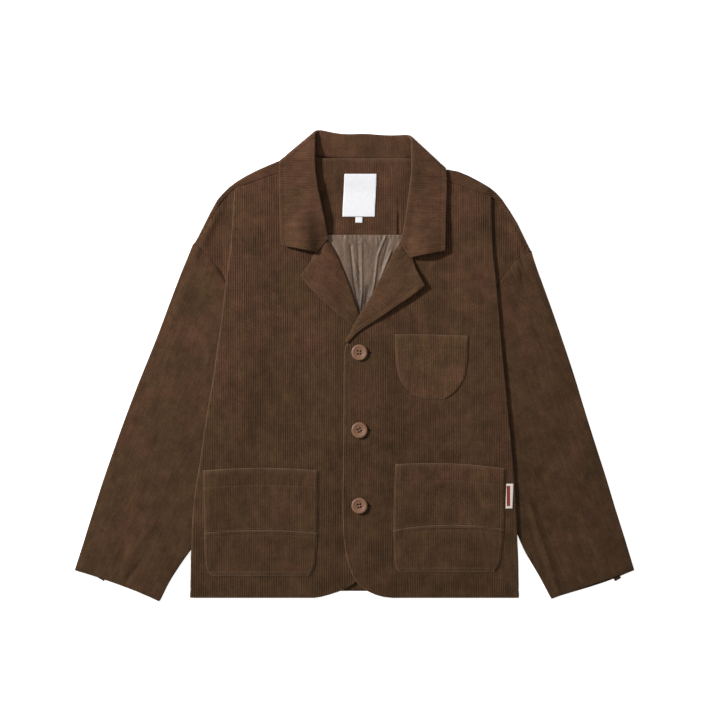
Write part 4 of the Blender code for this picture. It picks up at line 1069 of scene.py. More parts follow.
def sleeve_parts(name):
    """A flattened tube. Across each ring it has an upper wall, a half ellipse at the outer edge, a
    lower wall and a half ellipse at the inner edge. The wales run along the sleeve's own axis, so
    the grid is made on that axis, and its rows and columns are held inside the outline."""
    side, outer, inner = SIDES[name], points_of(SLEEVE[name], "outer"), points_of(SLEEVE[name], "inner")
    origin = (outer[0] + inner[0]) / 2
    axis = unit((outer[5] + inner[5]) / 2 - origin)
    sideways = np.array([-axis[1], axis[0]]) * -side

    def local(points):
        """Across and along the sleeve, from its cuff."""
        return (points - origin) @ np.stack([sideways, axis], -1)

    def to_xy(u, t):
        """The same, back."""
        return [origin[k] + u * sideways[k] + t * axis[k] for k in (0, 1)]

    top, hem_line = outer[-1] - inner[-1], outer[0] - inner[0]
    towards = np.array([-unit(top)[1], unit(top)[0]]) * side
    cap = local(inner[-1] + top * CAP["share"][:, None] + towards * CAP[name][:, None])
    share = np.linspace(0, 1, 9)
    hem = local(inner[0] + hem_line * share[:, None])
    hem[:, 1] += CUFF_BOW[name] * arch(share)
    hem = hem[np.argsort(hem[:, 0])]
    t = marks(min(hem[:, 1].min(), 0), cap[:, 1].max() + CAP_TUCK, ROW_SPACING)[:, None]

    def border(points):
        """How far across a smooth line through these points lies, at each row."""
        fine = np.linspace(points[0, 1], points[-1, 1], 80)
        return np.interp(t, fine, curve(fine, points[:, 1], points[:, 0]))

    edge = WALL / 2 + TURN
    low, high = border(local(inner)) + edge, border(local(outer)) - edge
    u = np.hstack([low, np.clip(wale_columns(low.min(), high.max()), low, high), high])

    def held(longer=0.0):
        """Rows held between the hem and the sleeve cap, with their own rounding at both."""
        first, last = np.interp(u, *hem.T) - longer, np.interp(u, *cap.T) + CAP_TUCK
        at = np.clip(t, first + ROUNDING[-1], last - ROUNDING[-1] - 2 * CAP_TUCK)
        at = np.where(t < t[3], first + (t - t[0]), at)
        from_last = np.clip(np.arange(len(t))[::-1], 0, len(CAP_ROWS) - 1)
        return np.where(t > t[-6], last - CAP_ROWS[from_last][:, None], at)

    upper_t = held()
    upper = to_xy(u, upper_t)
    share = (u - u[:, :1]) / (u[:, -1:] - u[:, :1])
    past_seam = upper_t - np.interp(u, *cap.T)
    low_z = sleeve_low_z(*upper)
    dip = SEAM_DIP["cap"] * step((past_seam + 0.2) / 2.6)
    high_z = low_z + WALL + sleeve_gap(*upper, share) - dip
    lower_t = held(CUFF_BELOW[name] * np.sin(math.pi * share**1.3))
    below_z = sleeve_low_z(*to_xy(u, lower_t))

    def turned_edge(end, way):
        """The half ellipse at one side, from the upper wall down to the lower one or back up."""
        tip_u, tip_t, z0, z1 = (each[:, end][:, None] for each in (u, upper_t, low_z, high_z))
        sine, cosine = way * np.sin(HALF_TURN), way * np.cos(HALF_TURN)
        run = tip_u + edge * (HALF_TURN if way > 0 else HALF_TURN - math.pi)
        return (tip_u + TURN * sine, tip_t, (z0 + z1) / 2 + (z1 - z0) / 2 * cosine, sine, cosine, run)

    back_u, back_t, back_low = (each[:, ::-1] for each in (u, lower_t, below_z))
    rings = joined([
        (u, upper_t, high_z, 0, 1, u), turned_edge(-1, 1),
        (back_u, back_t, back_low, 0, -1, 2 * u[:, -1:] + math.pi * edge - back_u),
        turned_edge(0, -1)])
    u, t, z, nu, nz, across = (np.hstack([each, each[:, :1]]) for each in rings)
    across[:, -1] = across[:, -2] + 0.8
    from_hem, from_seam = t - t[:1], np.interp(u, *cap.T) - t
    half = rounded(np.minimum(from_hem, from_seam + CAP_TUCK), WALL)
    half[[0, -1]] = 0
    normal = np.stack([nu * sideways[0], nu * sideways[1], nz], -1)
    # Wear and painted highlight along the hem and as a light line beside the armhole seam.
    wear_and_highlight = 0.6 * bell(from_hem, 1.0) + 0.35 * bell(from_seam - 1.5, 1.5)
    relief = ribs(across, 0.4) - 0.25 * bell(from_hem - CUFF_STITCH, 1.6)
    return [part(*to_xy(u, t), z, half, relief, (across, t), normal, wear_and_highlight)]


def lapel_parts(name):
    """A lapel on a grid whose rows run along its lower edge, as its wales do. Each row goes from the
    free edge to the roll line, and there round a third of a circle and down."""
    roll, edge = points_of(LAPEL[name], "roll"), points_of(LAPEL[name], "edge")
    sewn, gorge = edge.copy(), roll[0].copy()
    beyond = unit(np.array([edge[0, 1] - roll[0, 1], roll[0, 0] - edge[0, 0]]))
    beyond *= -np.sign(np.dot(edge[2] - roll[0], beyond))
    roll[0] += beyond * GORGE_TUCK
    edge[0] += beyond * GORGE_TUCK
    tip = edge[2]
    along = unit(edge[-1] - tip)
    over = np.array([-along[1], along[0]])
    over *= np.sign(np.dot(roll[0] - tip, over))
    outward = -normals_towards(roll, edge)
    held = roll - outward * (LAPEL_TURN + LAPEL_WALL / 2)

    # Along (a) and over (b) the lower edge, from the tip.
    free, low, turn = ((line - tip) @ np.stack([along, over], -1)
                       for line in (np.vstack([tip, edge[1], edge[0], held[0]]), edge[2:], held[::-1]))
    b = marks(min(low[:, 1].min(), turn[0, 1]), turn[-1, 1] - 0.05, 100)
    fine = wale_columns(b[0], b[-1])
    b = np.unique(np.concatenate([b, fine[(fine > b[0] + 0.3) & (fine < b[-1] - 0.3)]]))[:, None]
    first, last = np.interp(b, free[:, 1], free[:, 0]), np.interp(b, turn[:, 1], turn[:, 0])
    last = np.maximum(last, first + 0.2)
    a = first + (last - first) * np.concatenate([[0], np.linspace(0, 1, 16)])
    a[:, 1:3] = first + np.array([0.4, 1.5]) * np.minimum(1, (last - first) / 6)
    b = np.maximum(b, np.interp(a, *low.T))
    x, y = (tip[k] + a * along[k] + b * over[k] for k in (0, 1))

    share = (a - a[:, :1]) / (a[:, -1:] - a[:, :1])
    from_break = np.hypot(x - roll[-1, 0], y - roll[-1, 1])
    from_gorge = from_line(x, y, (gorge, sewn[0]))
    past_gorge = (x - gorge[0]) * beyond[0] + (y - gorge[1]) * beyond[1]
    lift = (step(from_break / 90) * (1.3 * (1 - share)**2 + 0.9 * np.sin(math.pi * share))
            + LAPEL_LIFT[name] * step(from_break / 70) * (1 - share)**1.6 * step((from_gorge - 5) / 26)
            - LAPEL_SINK[name] * step((24 - from_break) / 20)
            - SEAM_DIP["gorge"] * step((past_gorge + 0.6) / 3.5))
    z = FRONT_Z[name](x, y) + WALL / 2 + AIR + LAPEL_WALL / 2 + lift
    angle, station = np.radians([22, 45, 67, 90, 112]), np.arange(len(turn), dtype=float)
    out_x, out_y = at_run(outward[::-1], np.interp(b[:, -1:], turn[:, 1], station)[:, 0], station).T
    turn_x, turn_y = (each[:, None] * np.sin(angle) for each in (out_x, out_y))
    x, y, z, nx, ny, nz, across, run, distance = joined([
        (x, y, z, 0, 0, 1, b, a, from_line(x, y, np.vstack([roll[0], edge]))),
        (x[:, -1:] + LAPEL_TURN * turn_x, y[:, -1:] + LAPEL_TURN * turn_y,
         z[:, -1:] - LAPEL_TURN * (1 - np.cos(angle)), turn_x, turn_y, np.cos(angle),
         b[:, -1:], a[:, -1:] + LAPEL_TURN * angle, FAR)])
    from_sewn = from_line(x, y, sewn)
    relief = ribs(across, 0.4) - 0.4 * bell(from_sewn - EDGE_STITCH, 1.3)
    # Wear and painted highlight along the sewn edge and beside its stitching.
    wear_and_highlight = 0.6 * bell(from_sewn, 1.3) + 0.25 * bell(from_sewn - EDGE_STITCH + 2.5, 2.0)
    return [part(x, y, z, rounded(distance, LAPEL_WALL), relief, (across, run),
                 np.stack([nx, ny, nz], -1), wear_and_highlight)]


def collar_half(name):
    """Half of the collar, as stations from its front end to the middle of the back.

    The section runs from the neck seam up the stand, round the roll and out over the fall. At the
    neck corner both layers bend together round the crease, so that the fall lies behind. Towards
    the crease the stations tilt until they are parallel to it, and behind it they tilt back.
    Gives the middle surface, and for each point the distance across the wales, from the roll, from
    the front end and from the free edge.
    """
    side, rows, end, corner = SIDES[name], COLLAR[name], COLLAR_END[name], CORNER[name]
    a = math.radians(corner["angle"])
    normal = np.array([side * math.sin(a), math.cos(a)])
    middle = FRONT_LEVEL + WALL + AIR + TURN
    axis_z = (middle + TURN + BACK_LEVEL) / 2
    radius = middle + TURN - axis_z
    corner_roll, corner_free = rows["roll"][-1], rows["edge"][-1]

    def height_at(distance):
        """Height on the roll edge that lies this far past the crease."""
        return corner["y"] + (distance - (corner_roll - corner["x"]) * normal[0]) / normal[1]

    pitch = jacket().wale_pitch / COLUMNS_PER_WALE

    def stations(low, high, least):
        return np.linspace(low, high, max(least, int((high - low) / pitch)))

    bend = height_at(np.linspace(0, math.pi * radius, 26))
    past = (math.pi * radius - (COLLAR_MIDDLE_X - corner_roll) / normal[0]) / 2
    behind = stations(bend[-1], height_at(past), 8)[1:]
    straight = bend[0] - abs(corner_free - corner_roll) * math.tan(a) - 6
    start = rows["y"][0]
    even = np.linspace(start + ROUNDING[-1], straight, int((straight - start) / pitch))
    front = np.concatenate([start + ROUNDING[:-1], even])
    near = stations(straight, bend[0], 6)[1:-1]
    heights = np.concatenate([front, near, bend, behind])[:, None]
    tilt = math.tan(a) * np.concatenate([
        0 * front, (near - straight) / (bend[0] - straight), 0 * bend + 1,
        np.clip(1 - (behind - bend[-1]) / 45, 0, 1)])[:, None]

    stand_share = np.linspace(1, 0.15, 22)
    fall_share = np.concatenate([[0.1], np.linspace(0.12, 0.98, 44), [0.99, 0.996, 1]])
    angle = np.radians(np.linspace(-90, 90, 9))
    inset = WALL / 2 + TURN
    roll = np.interp(heights, rows["y"], rows["roll"])
    spread = np.abs(np.interp(heights, rows["y"], rows["edge"]) - roll)
    stand = np.append(stand_share * STAND_WIDTH, inset - TURN * np.cos(angle))
    offset = np.hstack([np.tile(stand, (len(heights), 1)), inset + fall_share * (spread - inset)])
    offset[:, :1] += STAND_TUCK * step((heights - bend[-1]) / 20)
    layer = np.hstack([0 * stand_share - TURN, TURN * np.sin(angle), 0 * fall_share + TURN])
    on_fall = np.arange(len(layer)) >= len(layer) - len(fall_share)
    x = roll + side * offset
    share = np.where(on_fall, offset / spread, 0)
    fade = 1 - step((heights - start) / 46)
    y = heights - offset * tilt + (np.interp(share, end["share"], end["y"]) - start) * fade
    grain = y
    fitted = 1 - step((y - 262) / 26)
    lift = (1 - step((y - start) / 75)) * curve(np.clip(share, 0, 1), LEAF_SHARES, LEAF_LIFT[name])
    standing = step((heights - start) / 40) * step((bend[0] - heights) / 25)
    lift = lift + ROLL_LIFT[name] * standing * bell(offset, 24)
    z = middle + layer + fitted * (front_rise(x, np.minimum(y, 260)) + 0.8 * share**2) + lift

    # The bend at the neck corner, round an axis halfway between the leaf and the surface below.
    distance = (x - corner["x"]) * normal[0] + (y - corner["y"]) * normal[1]
    turn = np.clip(distance / radius, 0, math.pi)
    height = z - axis_z
    beyond = np.maximum(distance - math.pi * radius, 0)
    shift = np.where(distance > 0, height * np.sin(turn) - beyond - distance, 0)
    x, y, z = x + shift * normal[0], y + shift * normal[1], axis_z + height * np.cos(turn)

    # Behind the neck the strip straightens to run level across to the middle of the back.
    weight = step((heights - bend[-1]) / (heights[-1] - bend[-1]))
    level_y = COLLAR_TOP_Y - offset * np.where(on_fall, FALL_WIDTH / abs(corner_free - corner_roll), 1)
    roll_x = x[:, len(stand_share) + 4][:, None]
    x, y = x * (1 - weight) + roll_x * weight, y * (1 - weight) + level_y * weight
    turned_share = step((heights - bend[0]) / (bend[-1] - bend[0]))
    across = np.where(on_fall, grain, grain * (1 - turned_share) + x * turned_share)
    from_free = np.where(on_fall, spread - offset, FAR)
    return np.stack([x, y, z], -1), across, offset, heights - start + 0 * x, from_free


def collar_parts():
    """The collar: both halves joined at the middle of the back, with its wales across the strip."""
    right, left = (collar_half(name) for name in SIDES)
    join = (right[0][-1:] + left[0][-1:]) / 2
    middle = np.concatenate([right[0][:-1], join, left[0][-2::-1]])
    across, offset, from_end, from_free = (
        np.concatenate([a, b[-2::-1]]) for a, b in zip(right[1:], left[1:]))
    normal = unit(np.cross(np.gradient(middle, axis=1), np.gradient(middle, axis=0)))
    normal *= np.sign(normal[20, -4, 2])
    half = rounded(np.minimum(from_end, from_free), WALL)
    front_end = np.where(from_free < 90, from_end, FAR)
    stitched = 0.35 * (bell(from_free - EDGE_STITCH, 1.3) + bell(front_end - EDGE_STITCH, 1.3))
    # Wear and painted highlight along the free edge, the roll and the front end.
    wear_and_highlight = 0.7 * bell(from_free, 1.5) + 0.7 * bell(offset - 0.9, 1.6) + 0.6 * bell(front_end, 1.5)
    return [part(*np.moveaxis(middle, -1, 0), half, ribs(across, 0.45) - stitched, (across, offset),
                 normal, wear_and_highlight)]


def patch_part(rows, z_at, low_y, high_y, low_bow, high_bow, sewn, mouth, flat_foot=True):
    """A patch between its two sides. Its rows bend evenly from the bow of its lower edge to the bow
    of its upper one: each bow is the height at the left, the middle and the right. It is sewn along
    its sides and at a distance from its lower and its upper edge, where one is told. Its mouth is
    how far the upper edge stands off."""
    sewn_up, sewn_down = ([] if each is None else [each] for each in sewn)
    lines = [low_y + each for each in sewn_up] + [high_y - each for each in sewn_down]
    corner = np.array([k for k in rows["y"] if low_y < k < low_y + 20])
    base = np.unique(np.concatenate([marks(low_y, high_y, ROW_SPACING, lines),
                                     corner, corner + 0.7, corner - 0.7]))
    base = base[(base >= low_y) & (base <= high_y)]
    x = clipped(*sides_at(rows, base))
    base = base[:, None]
    t = (x - rows["left"].min()) / (rows["right"].max() - rows["left"].min())
    share = (base - low_y) / (high_y - low_y)
    y = base + bow(t, low_bow) * (1 - share) + bow(t, high_bow) * share
    across, up, down = np.broadcast_arrays(beside(x), base - low_y, high_y - base)
    lift = mouth * step((share - 0.45) / 0.55) * np.sqrt(np.clip(arch(t), 0, 1))
    sink = SEAM_DIP["pocket"] * bell(np.minimum(across, up) if flat_foot else across, 2.8)
    from_rows = [across - POCKET_STITCH]
    from_rows += [up - each for each in sewn_up] + [down - each for each in sewn_down]
    drawn = 0.4 * np.maximum.reduce([bell(each, 1.1) for each in from_rows])
    # Wear and painted highlight: a crisp light line along the upper edge, lighter sides and lighter rows
    # of stitching.
    wear_and_highlight = (1.4 * bell(down - 0.2, 0.9) + 0.5 * bell(across - 0.8, 0.9)
            + 0.35 * np.minimum(drawn / 0.3, 1))
    # A flat foot also gets a light band, partly wear and partly a painted highlight against the shade
    # where the foot dips into the front.
    if flat_foot:
        wear_and_highlight = wear_and_highlight + 1.2 * bell(up - 1.3, 1.4) + 0.25 * bell(up - 4, 4)
    half = rounded(np.minimum(np.minimum(across, up), down), WALL)
    return part(x, y, z_at(x, y) + WALL + POCKET_AIR + lift - sink, half, ribs(x) - drawn, wear_and_highlight=wear_and_highlight)


def bow(t, ends):
    """A line through a left end, a middle and a right end, bent as an arch."""
    left, middle, right = ends
    return left + (right - left) * t + arch(t) * (middle - (left + right) / 2)


def lining_part():
    """The satin back: vertical folds that fan out from the break, and a puckered upper edge."""
    y = marks(*LINING_Y, LINING_SPACING)[:, None]
    s = np.linspace(0, 1, 110)
    low, high = sides_at(BACK_LINING, y)
    x = low + (high - low) * s
    y = np.broadcast_to(y, x.shape)
    folds = 0.7 * creases(x, y, LINING_FOLDS)
    pucker = 0.35 * np.sin(x * 2 * math.pi / 8.3 + 2.4 * np.sin(x / 9)) * step((y - 184) / 10)
    free = 1 - 0.5 * np.abs(2 * s - 1)**3
    z = (back_z(x, y) + WALL / 2 + AIR + SATIN / 2 + 0.6
         + np.clip((folds + pucker) * free, -2.3, 3.0) + 1.8)
    return part(x, y, z, rounded(from_border(x, y), SATIN))


def facing_part():
    """The neck facing, with one soft fold beside the wearer's left edge."""
    foot, top = NECK_FACING["y"][[0, -1]]
    y = marks(foot, top, ROW_SPACING, (FACING_STITCH_Y,))
    x = clipped(*sides_at(NECK_FACING, y))
    y = np.broadcast_to(y[:, None], x.shape)
    fold = (bell(x - 61.5, 3.5) - 1.3 * bell(x - 66.5, 1.6)) * step((248 - y) / 24)
    # Its upper edge, below the stand, carries wear and a painted highlight.
    return part(x, y, back_z(x, y) + WALL + AIR + fold, rounded(from_border(x, y), WALL),
                ribs(x) - 0.3 * bell(y - FACING_STITCH_Y, 1.2), wear_and_highlight=bell(top - y, 1.6))


def flat_patch(rows, z_at, above, columns=24, spacing=3.0):
    """A plain label: level rows between its two sides, above the surface that carries it."""
    y = marks(rows["y"][0], rows["y"][-1], spacing)
    low, high = sides_at(rows, y)
    x = clipped(low, high, np.linspace(low.min(), high.max(), columns))
    y = np.broadcast_to(y[:, None], x.shape)
    return part(x, y, z_at(x, y) + above + LABEL / 2, rounded(from_border(x, y), LABEL))


def vent_part(name):
    """The under lap of a cuff vent: a strip from inside the cuff to past its hem."""
    s, station = np.linspace(0, 1, 24), np.linspace(0, 1, 3)
    left, right = (at_run(points_of(VENT[name], each), np.linspace(0, 1, 14), station)
                   for each in ("left", "right"))
    x, y = (left[:, k:k + 1] * (1 - s) + right[:, k:k + 1] * s for k in (0, 1))
    distance = np.minimum.reduce([np.hypot(x - x[at], y - y[at]) for at in
                                  (np.s_[:, :1], np.s_[:, -1:], np.s_[-1:])])
    return part(x, y, sleeve_low_z(x, y) + WALL / 2 + 0.3 + THIN_LAP / 2, rounded(distance, THIN_LAP),
                ribs(x, 0.4, 0.9))


# ---------------------------------------------------------------- sewing and buttons

def stitches(name, lines, finish):
    """Rows of stitches spaced evenly along lines of points. Each is a short spindle with a
    four-sided middle, laid along its line."""
    points, ahead = [], []
    for line in lines:
        run = run_along(line)
        count = max(1, int(run[-1] / (LENGTH_OF_STITCH + GAP_OF_STITCH)))
        at = (np.arange(count) + 0.5) * run[-1] / count
        points.append(at_run(line, at, run))
        ahead.append(unit(at_run(line, at + 0.4, run) - at_run(line, at - 0.4, run)))
    points, ahead = np.concatenate(points), np.concatenate(ahead)
    sideways = unit(np.cross(UP, ahead))
    around = ((1, 0), (0, 1), (-1, 0), (0, -1))
    shape = [(-0.5, 0, 0), *((a, b, c) for a in (-0.25, 0.25) for b, c in around), (0.5, 0, 0)]
    wide, high = HALF_STITCH
    corners = [points + ahead * (LENGTH_OF_STITCH * a) + sideways * (wide * b) + UP * (high * c)
               for a, b, c in shape]
    corners = np.stack(corners, axis=1)
    tips = [[0, k % 4 + 1, k] for k in (1, 2, 3, 4)] + [[9, k + 4, k % 4 + 5] for k in (1, 2, 3, 4)]
    quads = [[k, k % 4 + 1, k % 4 + 5, k + 4] for k in (1, 2, 3, 4)]
    start = (np.arange(len(points)) * len(shape))[:, None, None]
    faces = [face for each in (tips, quads)
             for face in (np.array(each) + start).reshape(-1, len(each[0])).tolist()]
    return new_mesh(name, corners.reshape(-1, 3), faces, None, finish)


def turned(profile, steps):
    """A closed lathe form: each point of the profile carried round the axis in even steps."""
    turn = np.arange(steps) * 2 * math.pi / steps
    r, z = np.array(profile, float).T
    rings = np.stack([r[:, None] * np.cos(turn), r[:, None] * np.sin(turn), z[:, None] + 0 * turn], -1)
    points = np.concatenate([rings.reshape(-1, 3), [[0, 0, z[0]], [0, 0, z[-1]]]])
    index = np.arange(len(r) * steps).reshape(len(r), steps)
    after = np.roll(index, -1, axis=1)
    quads = np.stack([index[1:], after[1:], after[:-1], index[:-1]], -1).reshape(-1, 4).tolist()
    top, bottom = len(points) - 2, len(points) - 1
    caps = [[top, a, b] for a, b in zip(index[0], after[0])]
    caps += [[bottom, b, a] for a, b in zip(index[-1], after[-1])]
    return points, quads + caps


def tubes(name, lines, radius, finish):
    """Round cords along lines of points: a ring of eight about each point, square to the line, and
    closed at both ends."""
    points, faces, start = [], [], 0
    turn = np.arange(8)[:, None] * math.pi / 4
    for line in lines:
        ahead = unit(np.gradient(line, axis=0))
        first = unit(np.cross(ahead, [0.31, 0.17, 0.94]))
        second = np.cross(ahead, first)
        rings = line[:, None] + radius * (np.cos(turn) * first[:, None] + np.sin(turn) * second[:, None])
        index = np.arange(len(line) * 8).reshape(-1, 8) + start
        after = np.roll(index, -1, axis=1)
        faces += np.stack([index[:-1], after[:-1], after[1:], index[1:]], -1).reshape(-1, 4).tolist()
        faces += [index[0, ::-1].tolist(), index[-1].tolist()]
        points.append(rings.reshape(-1, 3))
        start += len(line) * 8
    return new_mesh(name, np.concatenate(points), faces, None, finish)


def ride_in(piece):
    """Fixes a piece to the jacket."""
    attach(piece, "root")


def add_button(name, context):
    """A button with four holes drilled through it. Gives the top of each hole, level with the rim."""
    y, turn = BUTTONS[name]
    base = float(front_left_z(np.array(BUTTON_X), np.array(y))) + WALL / 2 + 0.5
    points, faces = turned(BUTTON_PROFILE, 64)
    button = new_mesh(f"{name}_button", points + [BUTTON_X, y, base], faces,
                      finish=finish_of("button_horn"))
    holes, drills = [], []
    for k in range(4):
        angle = turn + math.pi / 4 + k * math.pi / 2
        hole = (BUTTON_X + HOLE_FROM_MIDDLE * math.cos(angle), y + HOLE_FROM_MIDDLE * math.sin(angle))
        shape, sides = turned([(HOLE_RADIUS, BUTTON_HEIGHT), (HOLE_RADIUS, -BUTTON_HEIGHT)], 16)
        drill = new_mesh(f"{name}_drill_{k}", shape + [*hole, base + BUTTON_HEIGHT / 2], sides)
        cut = button.modifiers.new(f"hole_{k}", "BOOLEAN")
        cut.operation, cut.object, cut.solver = "DIFFERENCE", drill, "EXACT"
        holes.append((*hole, base + BUTTON_HEIGHT))
        drills.append(drill)
    drilled = bpy.data.meshes.new_from_object(button.evaluated_get(context.evaluated_depsgraph_get()))
    for drill in drills:
        bpy.data.objects.remove(drill, do_unlink=True)
    button.modifiers.clear()
    button.data = drilled
    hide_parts(f"button_{name}")
    ride_in(button)
    return holes


def patch_border(rows, inset):
    """The sides and the bottom of a patch, moved in: from its upper left round to its upper right."""
    down = np.linspace(rows["y"][-1] - 1, rows["y"][0], 60)
    left, right = sides_at(rows, down)
    line = np.concatenate([np.c_[left, down], np.c_[right, down][::-1]])
    line = line[np.insert(np.linalg.norm(np.diff(line, axis=0), axis=1) > 0.3, 0, True)]
    centre = np.array([(rows["left"].min() + rows["right"].max()) / 2, rows["y"].mean()])
    return line + normals_towards(line, centre) * inset


def inside(edge, inset, middle):
    """A line that runs beside another at an even distance, on the side of a point."""
    run = run_along(edge)
    line = at_run(edge, np.linspace(inset, run[-1] - inset, 60), run)
    moved = line + normals_towards(line, middle) * inset
    return moved[from_line(moved[:, 0], moved[:, 1], edge) > inset - 0.4]


# ---------------------------------------------------------------- operators

class JACKET_OT_back(bpy.types.Operator):
    """Add the back panel, which comes forward over both shoulders"""
    bl_idname = "jacket.back"
    bl_label = "Back"
    bl_options = {"REGISTER", "UNDO"}

    def execute(self, context):
        cloth_piece("back_panel", back_parts(), "body_corduroy", "back")
        return {"FINISHED"}


class JACKET_OT_fronts(bpy.types.Operator):
    """Add both fronts, the left one over the right one"""
    bl_idname = "jacket.fronts"
    bl_label = "Fronts"
    bl_options = {"REGISTER", "UNDO"}

    def execute(self, context):
        for name, lines, below in (("right", (), ["back_panel"]),
                                   ("left", (-115,), ["right_front", "back_panel"])):
            cloth_piece(f"{name}_front", front_parts(name, lines), "body_corduroy", f"front_{name}")
        return {"FINISHED"}


class JACKET_OT_sleeves(bpy.types.Operator):
    """Add both sleeves and the under laps of their cuff vents"""
    bl_idname = "jacket.sleeves"
    bl_label = "Sleeves"
    bl_options = {"REGISTER", "UNDO"}

    def execute(self, context):
        for name in SIDES:
            cloth_piece(f"{name}_sleeve", sleeve_parts(name), "sleeve_corduroy", f"sleeve_{name}")
            cloth_piece(f"{name}_vent_lap", [vent_part(name)], "sleeve_corduroy", f"vent_{name}")
        return {"FINISHED"}


class JACKET_OT_inside(bpy.types.Operator):
    """Add what shows inside the neck: the lining, the neck facing and the bare labels"""
    bl_idname = "jacket.inside"
    bl_label = "Inside of the neck"
    bl_options = {"REGISTER", "UNDO"}

    def execute(self, context):
        on_facing = WALL + AIR + WALL / 2 + 0.25
        cloth_piece("satin_back", [lining_part()], "lining_satin", "back_lining")
        cloth_piece("neck_facing", [facing_part()], "facing_corduroy", "back_neck_facing")
        cloth_piece("bare_neck_label", [flat_patch(NECK_LABEL, back_z, on_facing)], "label_white",
                    "neck_label")
        cloth_piece("bare_size_tab", [flat_patch(SIZE_TAB, back_z, on_facing, 8, 2.0)], "label_white",
                    "size_tab")
        return {"FINISHED"}


class JACKET_OT_lapels(bpy.types.Operator):
    """Add both lapels"""
    bl_idname = "jacket.lapels"
    bl_label = "Lapels"
    bl_options = {"REGISTER", "UNDO"}

    def execute(self, context):
        for name in SIDES:
            cloth_piece(f"{name}_lapel", lapel_parts(name), "lapel_corduroy", f"lapel_{name}")
        return {"FINISHED"}


class JACKET_OT_collar(bpy.types.Operator):
    """Add the collar with its stand, roll and fall"""
    bl_idname = "jacket.collar"
    bl_label = "Collar"
    bl_options = {"REGISTER", "UNDO"}

    def execute(self, context):
        cloth_piece("folded_collar", collar_parts(), "collar_corduroy", "collar")
        return {"FINISHED"}


class JACKET_OT_pockets(bpy.types.Operator):
    """Add the two patch pockets, each with its seam across, and the round chest pocket"""
    bl_idname = "jacket.pockets"
    bl_label = "Pockets"
    bl_options = {"REGISTER", "UNDO"}

    def execute(self, context):
        for name, top_bow in (("right", (0.7, 4.6, 0.7)), ("left", (5.7, 7.2, -0.3))):
            rows, z_at, seam = POCKET[name], FRONT_Z[name], POCKET_SEAM[name]
            middle = (seam[0] + seam[2]) / 2
            seam_bow = tuple(each - middle for each in seam)
            lower = patch_part(rows, z_at, rows["y"][0], middle - 0.15, (0, 0, 0), seam_bow,
                               (POCKET_STITCH, SEAM_STITCH["lower"]), 0.0)
            upper = patch_part(rows, z_at, middle + 0.15, rows["y"][-1], seam_bow, top_bow,
                               (SEAM_STITCH["upper"], POCKET_HEM), 1.0, flat_foot=False)
            cloth_piece(f"{name}_pocket_lower", [lower], "pocket_corduroy", f"pocket_{name}_lower")
            cloth_piece(f"{name}_pocket_upper", [upper], "pocket_corduroy", f"pocket_{name}")
        chest = patch_part(POCKET_CHEST, front_left_z, POCKET_CHEST["y"][0], POCKET_CHEST["y"][-1],
                           (0, 0, 0), (1.6, 1.2, -0.8), (None, CHEST_HEM), 0.8)
        cloth_piece("chest_pocket", [chest], "chest_corduroy", "pocket_chest")
        flag = flat_patch(SIDE_LABEL, front_left_z, WALL / 2 + 0.3, 16, 2.0)
        cloth_piece("bare_side_tab", [flag], "label_cream", "side_label")
        return {"FINISHED"}


class JACKET_OT_buttons(bpy.types.Operator):
    """Add the three horn buttons, their thread and the buttonholes"""
    bl_idname = "jacket.buttons"
    bl_label = "Buttons"
    bl_options = {"REGISTER", "UNDO"}

    def execute(self, context):
        t = np.linspace(0, 1, 9)
        for name, (y, _) in BUTTONS.items():
            holes = np.array(add_button(name, context))
            bars = [np.c_[holes[a, :2] + (holes[b, :2] - holes[a, :2]) * t[:, None],
                          holes[a, 2] - THREAD_DEPTH + THREAD_RISE * np.sqrt(np.sin(math.pi * t))]
                    for a, b in ((0, 1), (2, 3))]
            # The thread bars are near-black so that the holes they run through read as dark: painted
            # shade in the holes.
            thread = finish_of("dark_thread")
            ride_in(tubes(f"{name}_button_thread", bars, THREAD_RADIUS, thread))
            x = np.linspace(0.0, BUTTONHOLE_LENGTH, 40)
            # The lips of each buttonhole are the same near-black thread, which also paints the shade of
            # the slit between them.
            lips = [np.c_[x, at + 0 * x, front_left_z(x, at + 0 * x) + WALL / 2 + 0.1]
                    for at in (y - BUTTONHOLE_LIP, y + BUTTONHOLE_LIP)]
            ride_in(tubes(f"{name}_buttonhole", lips, LIP_RADIUS, thread))
        return {"FINISHED"}


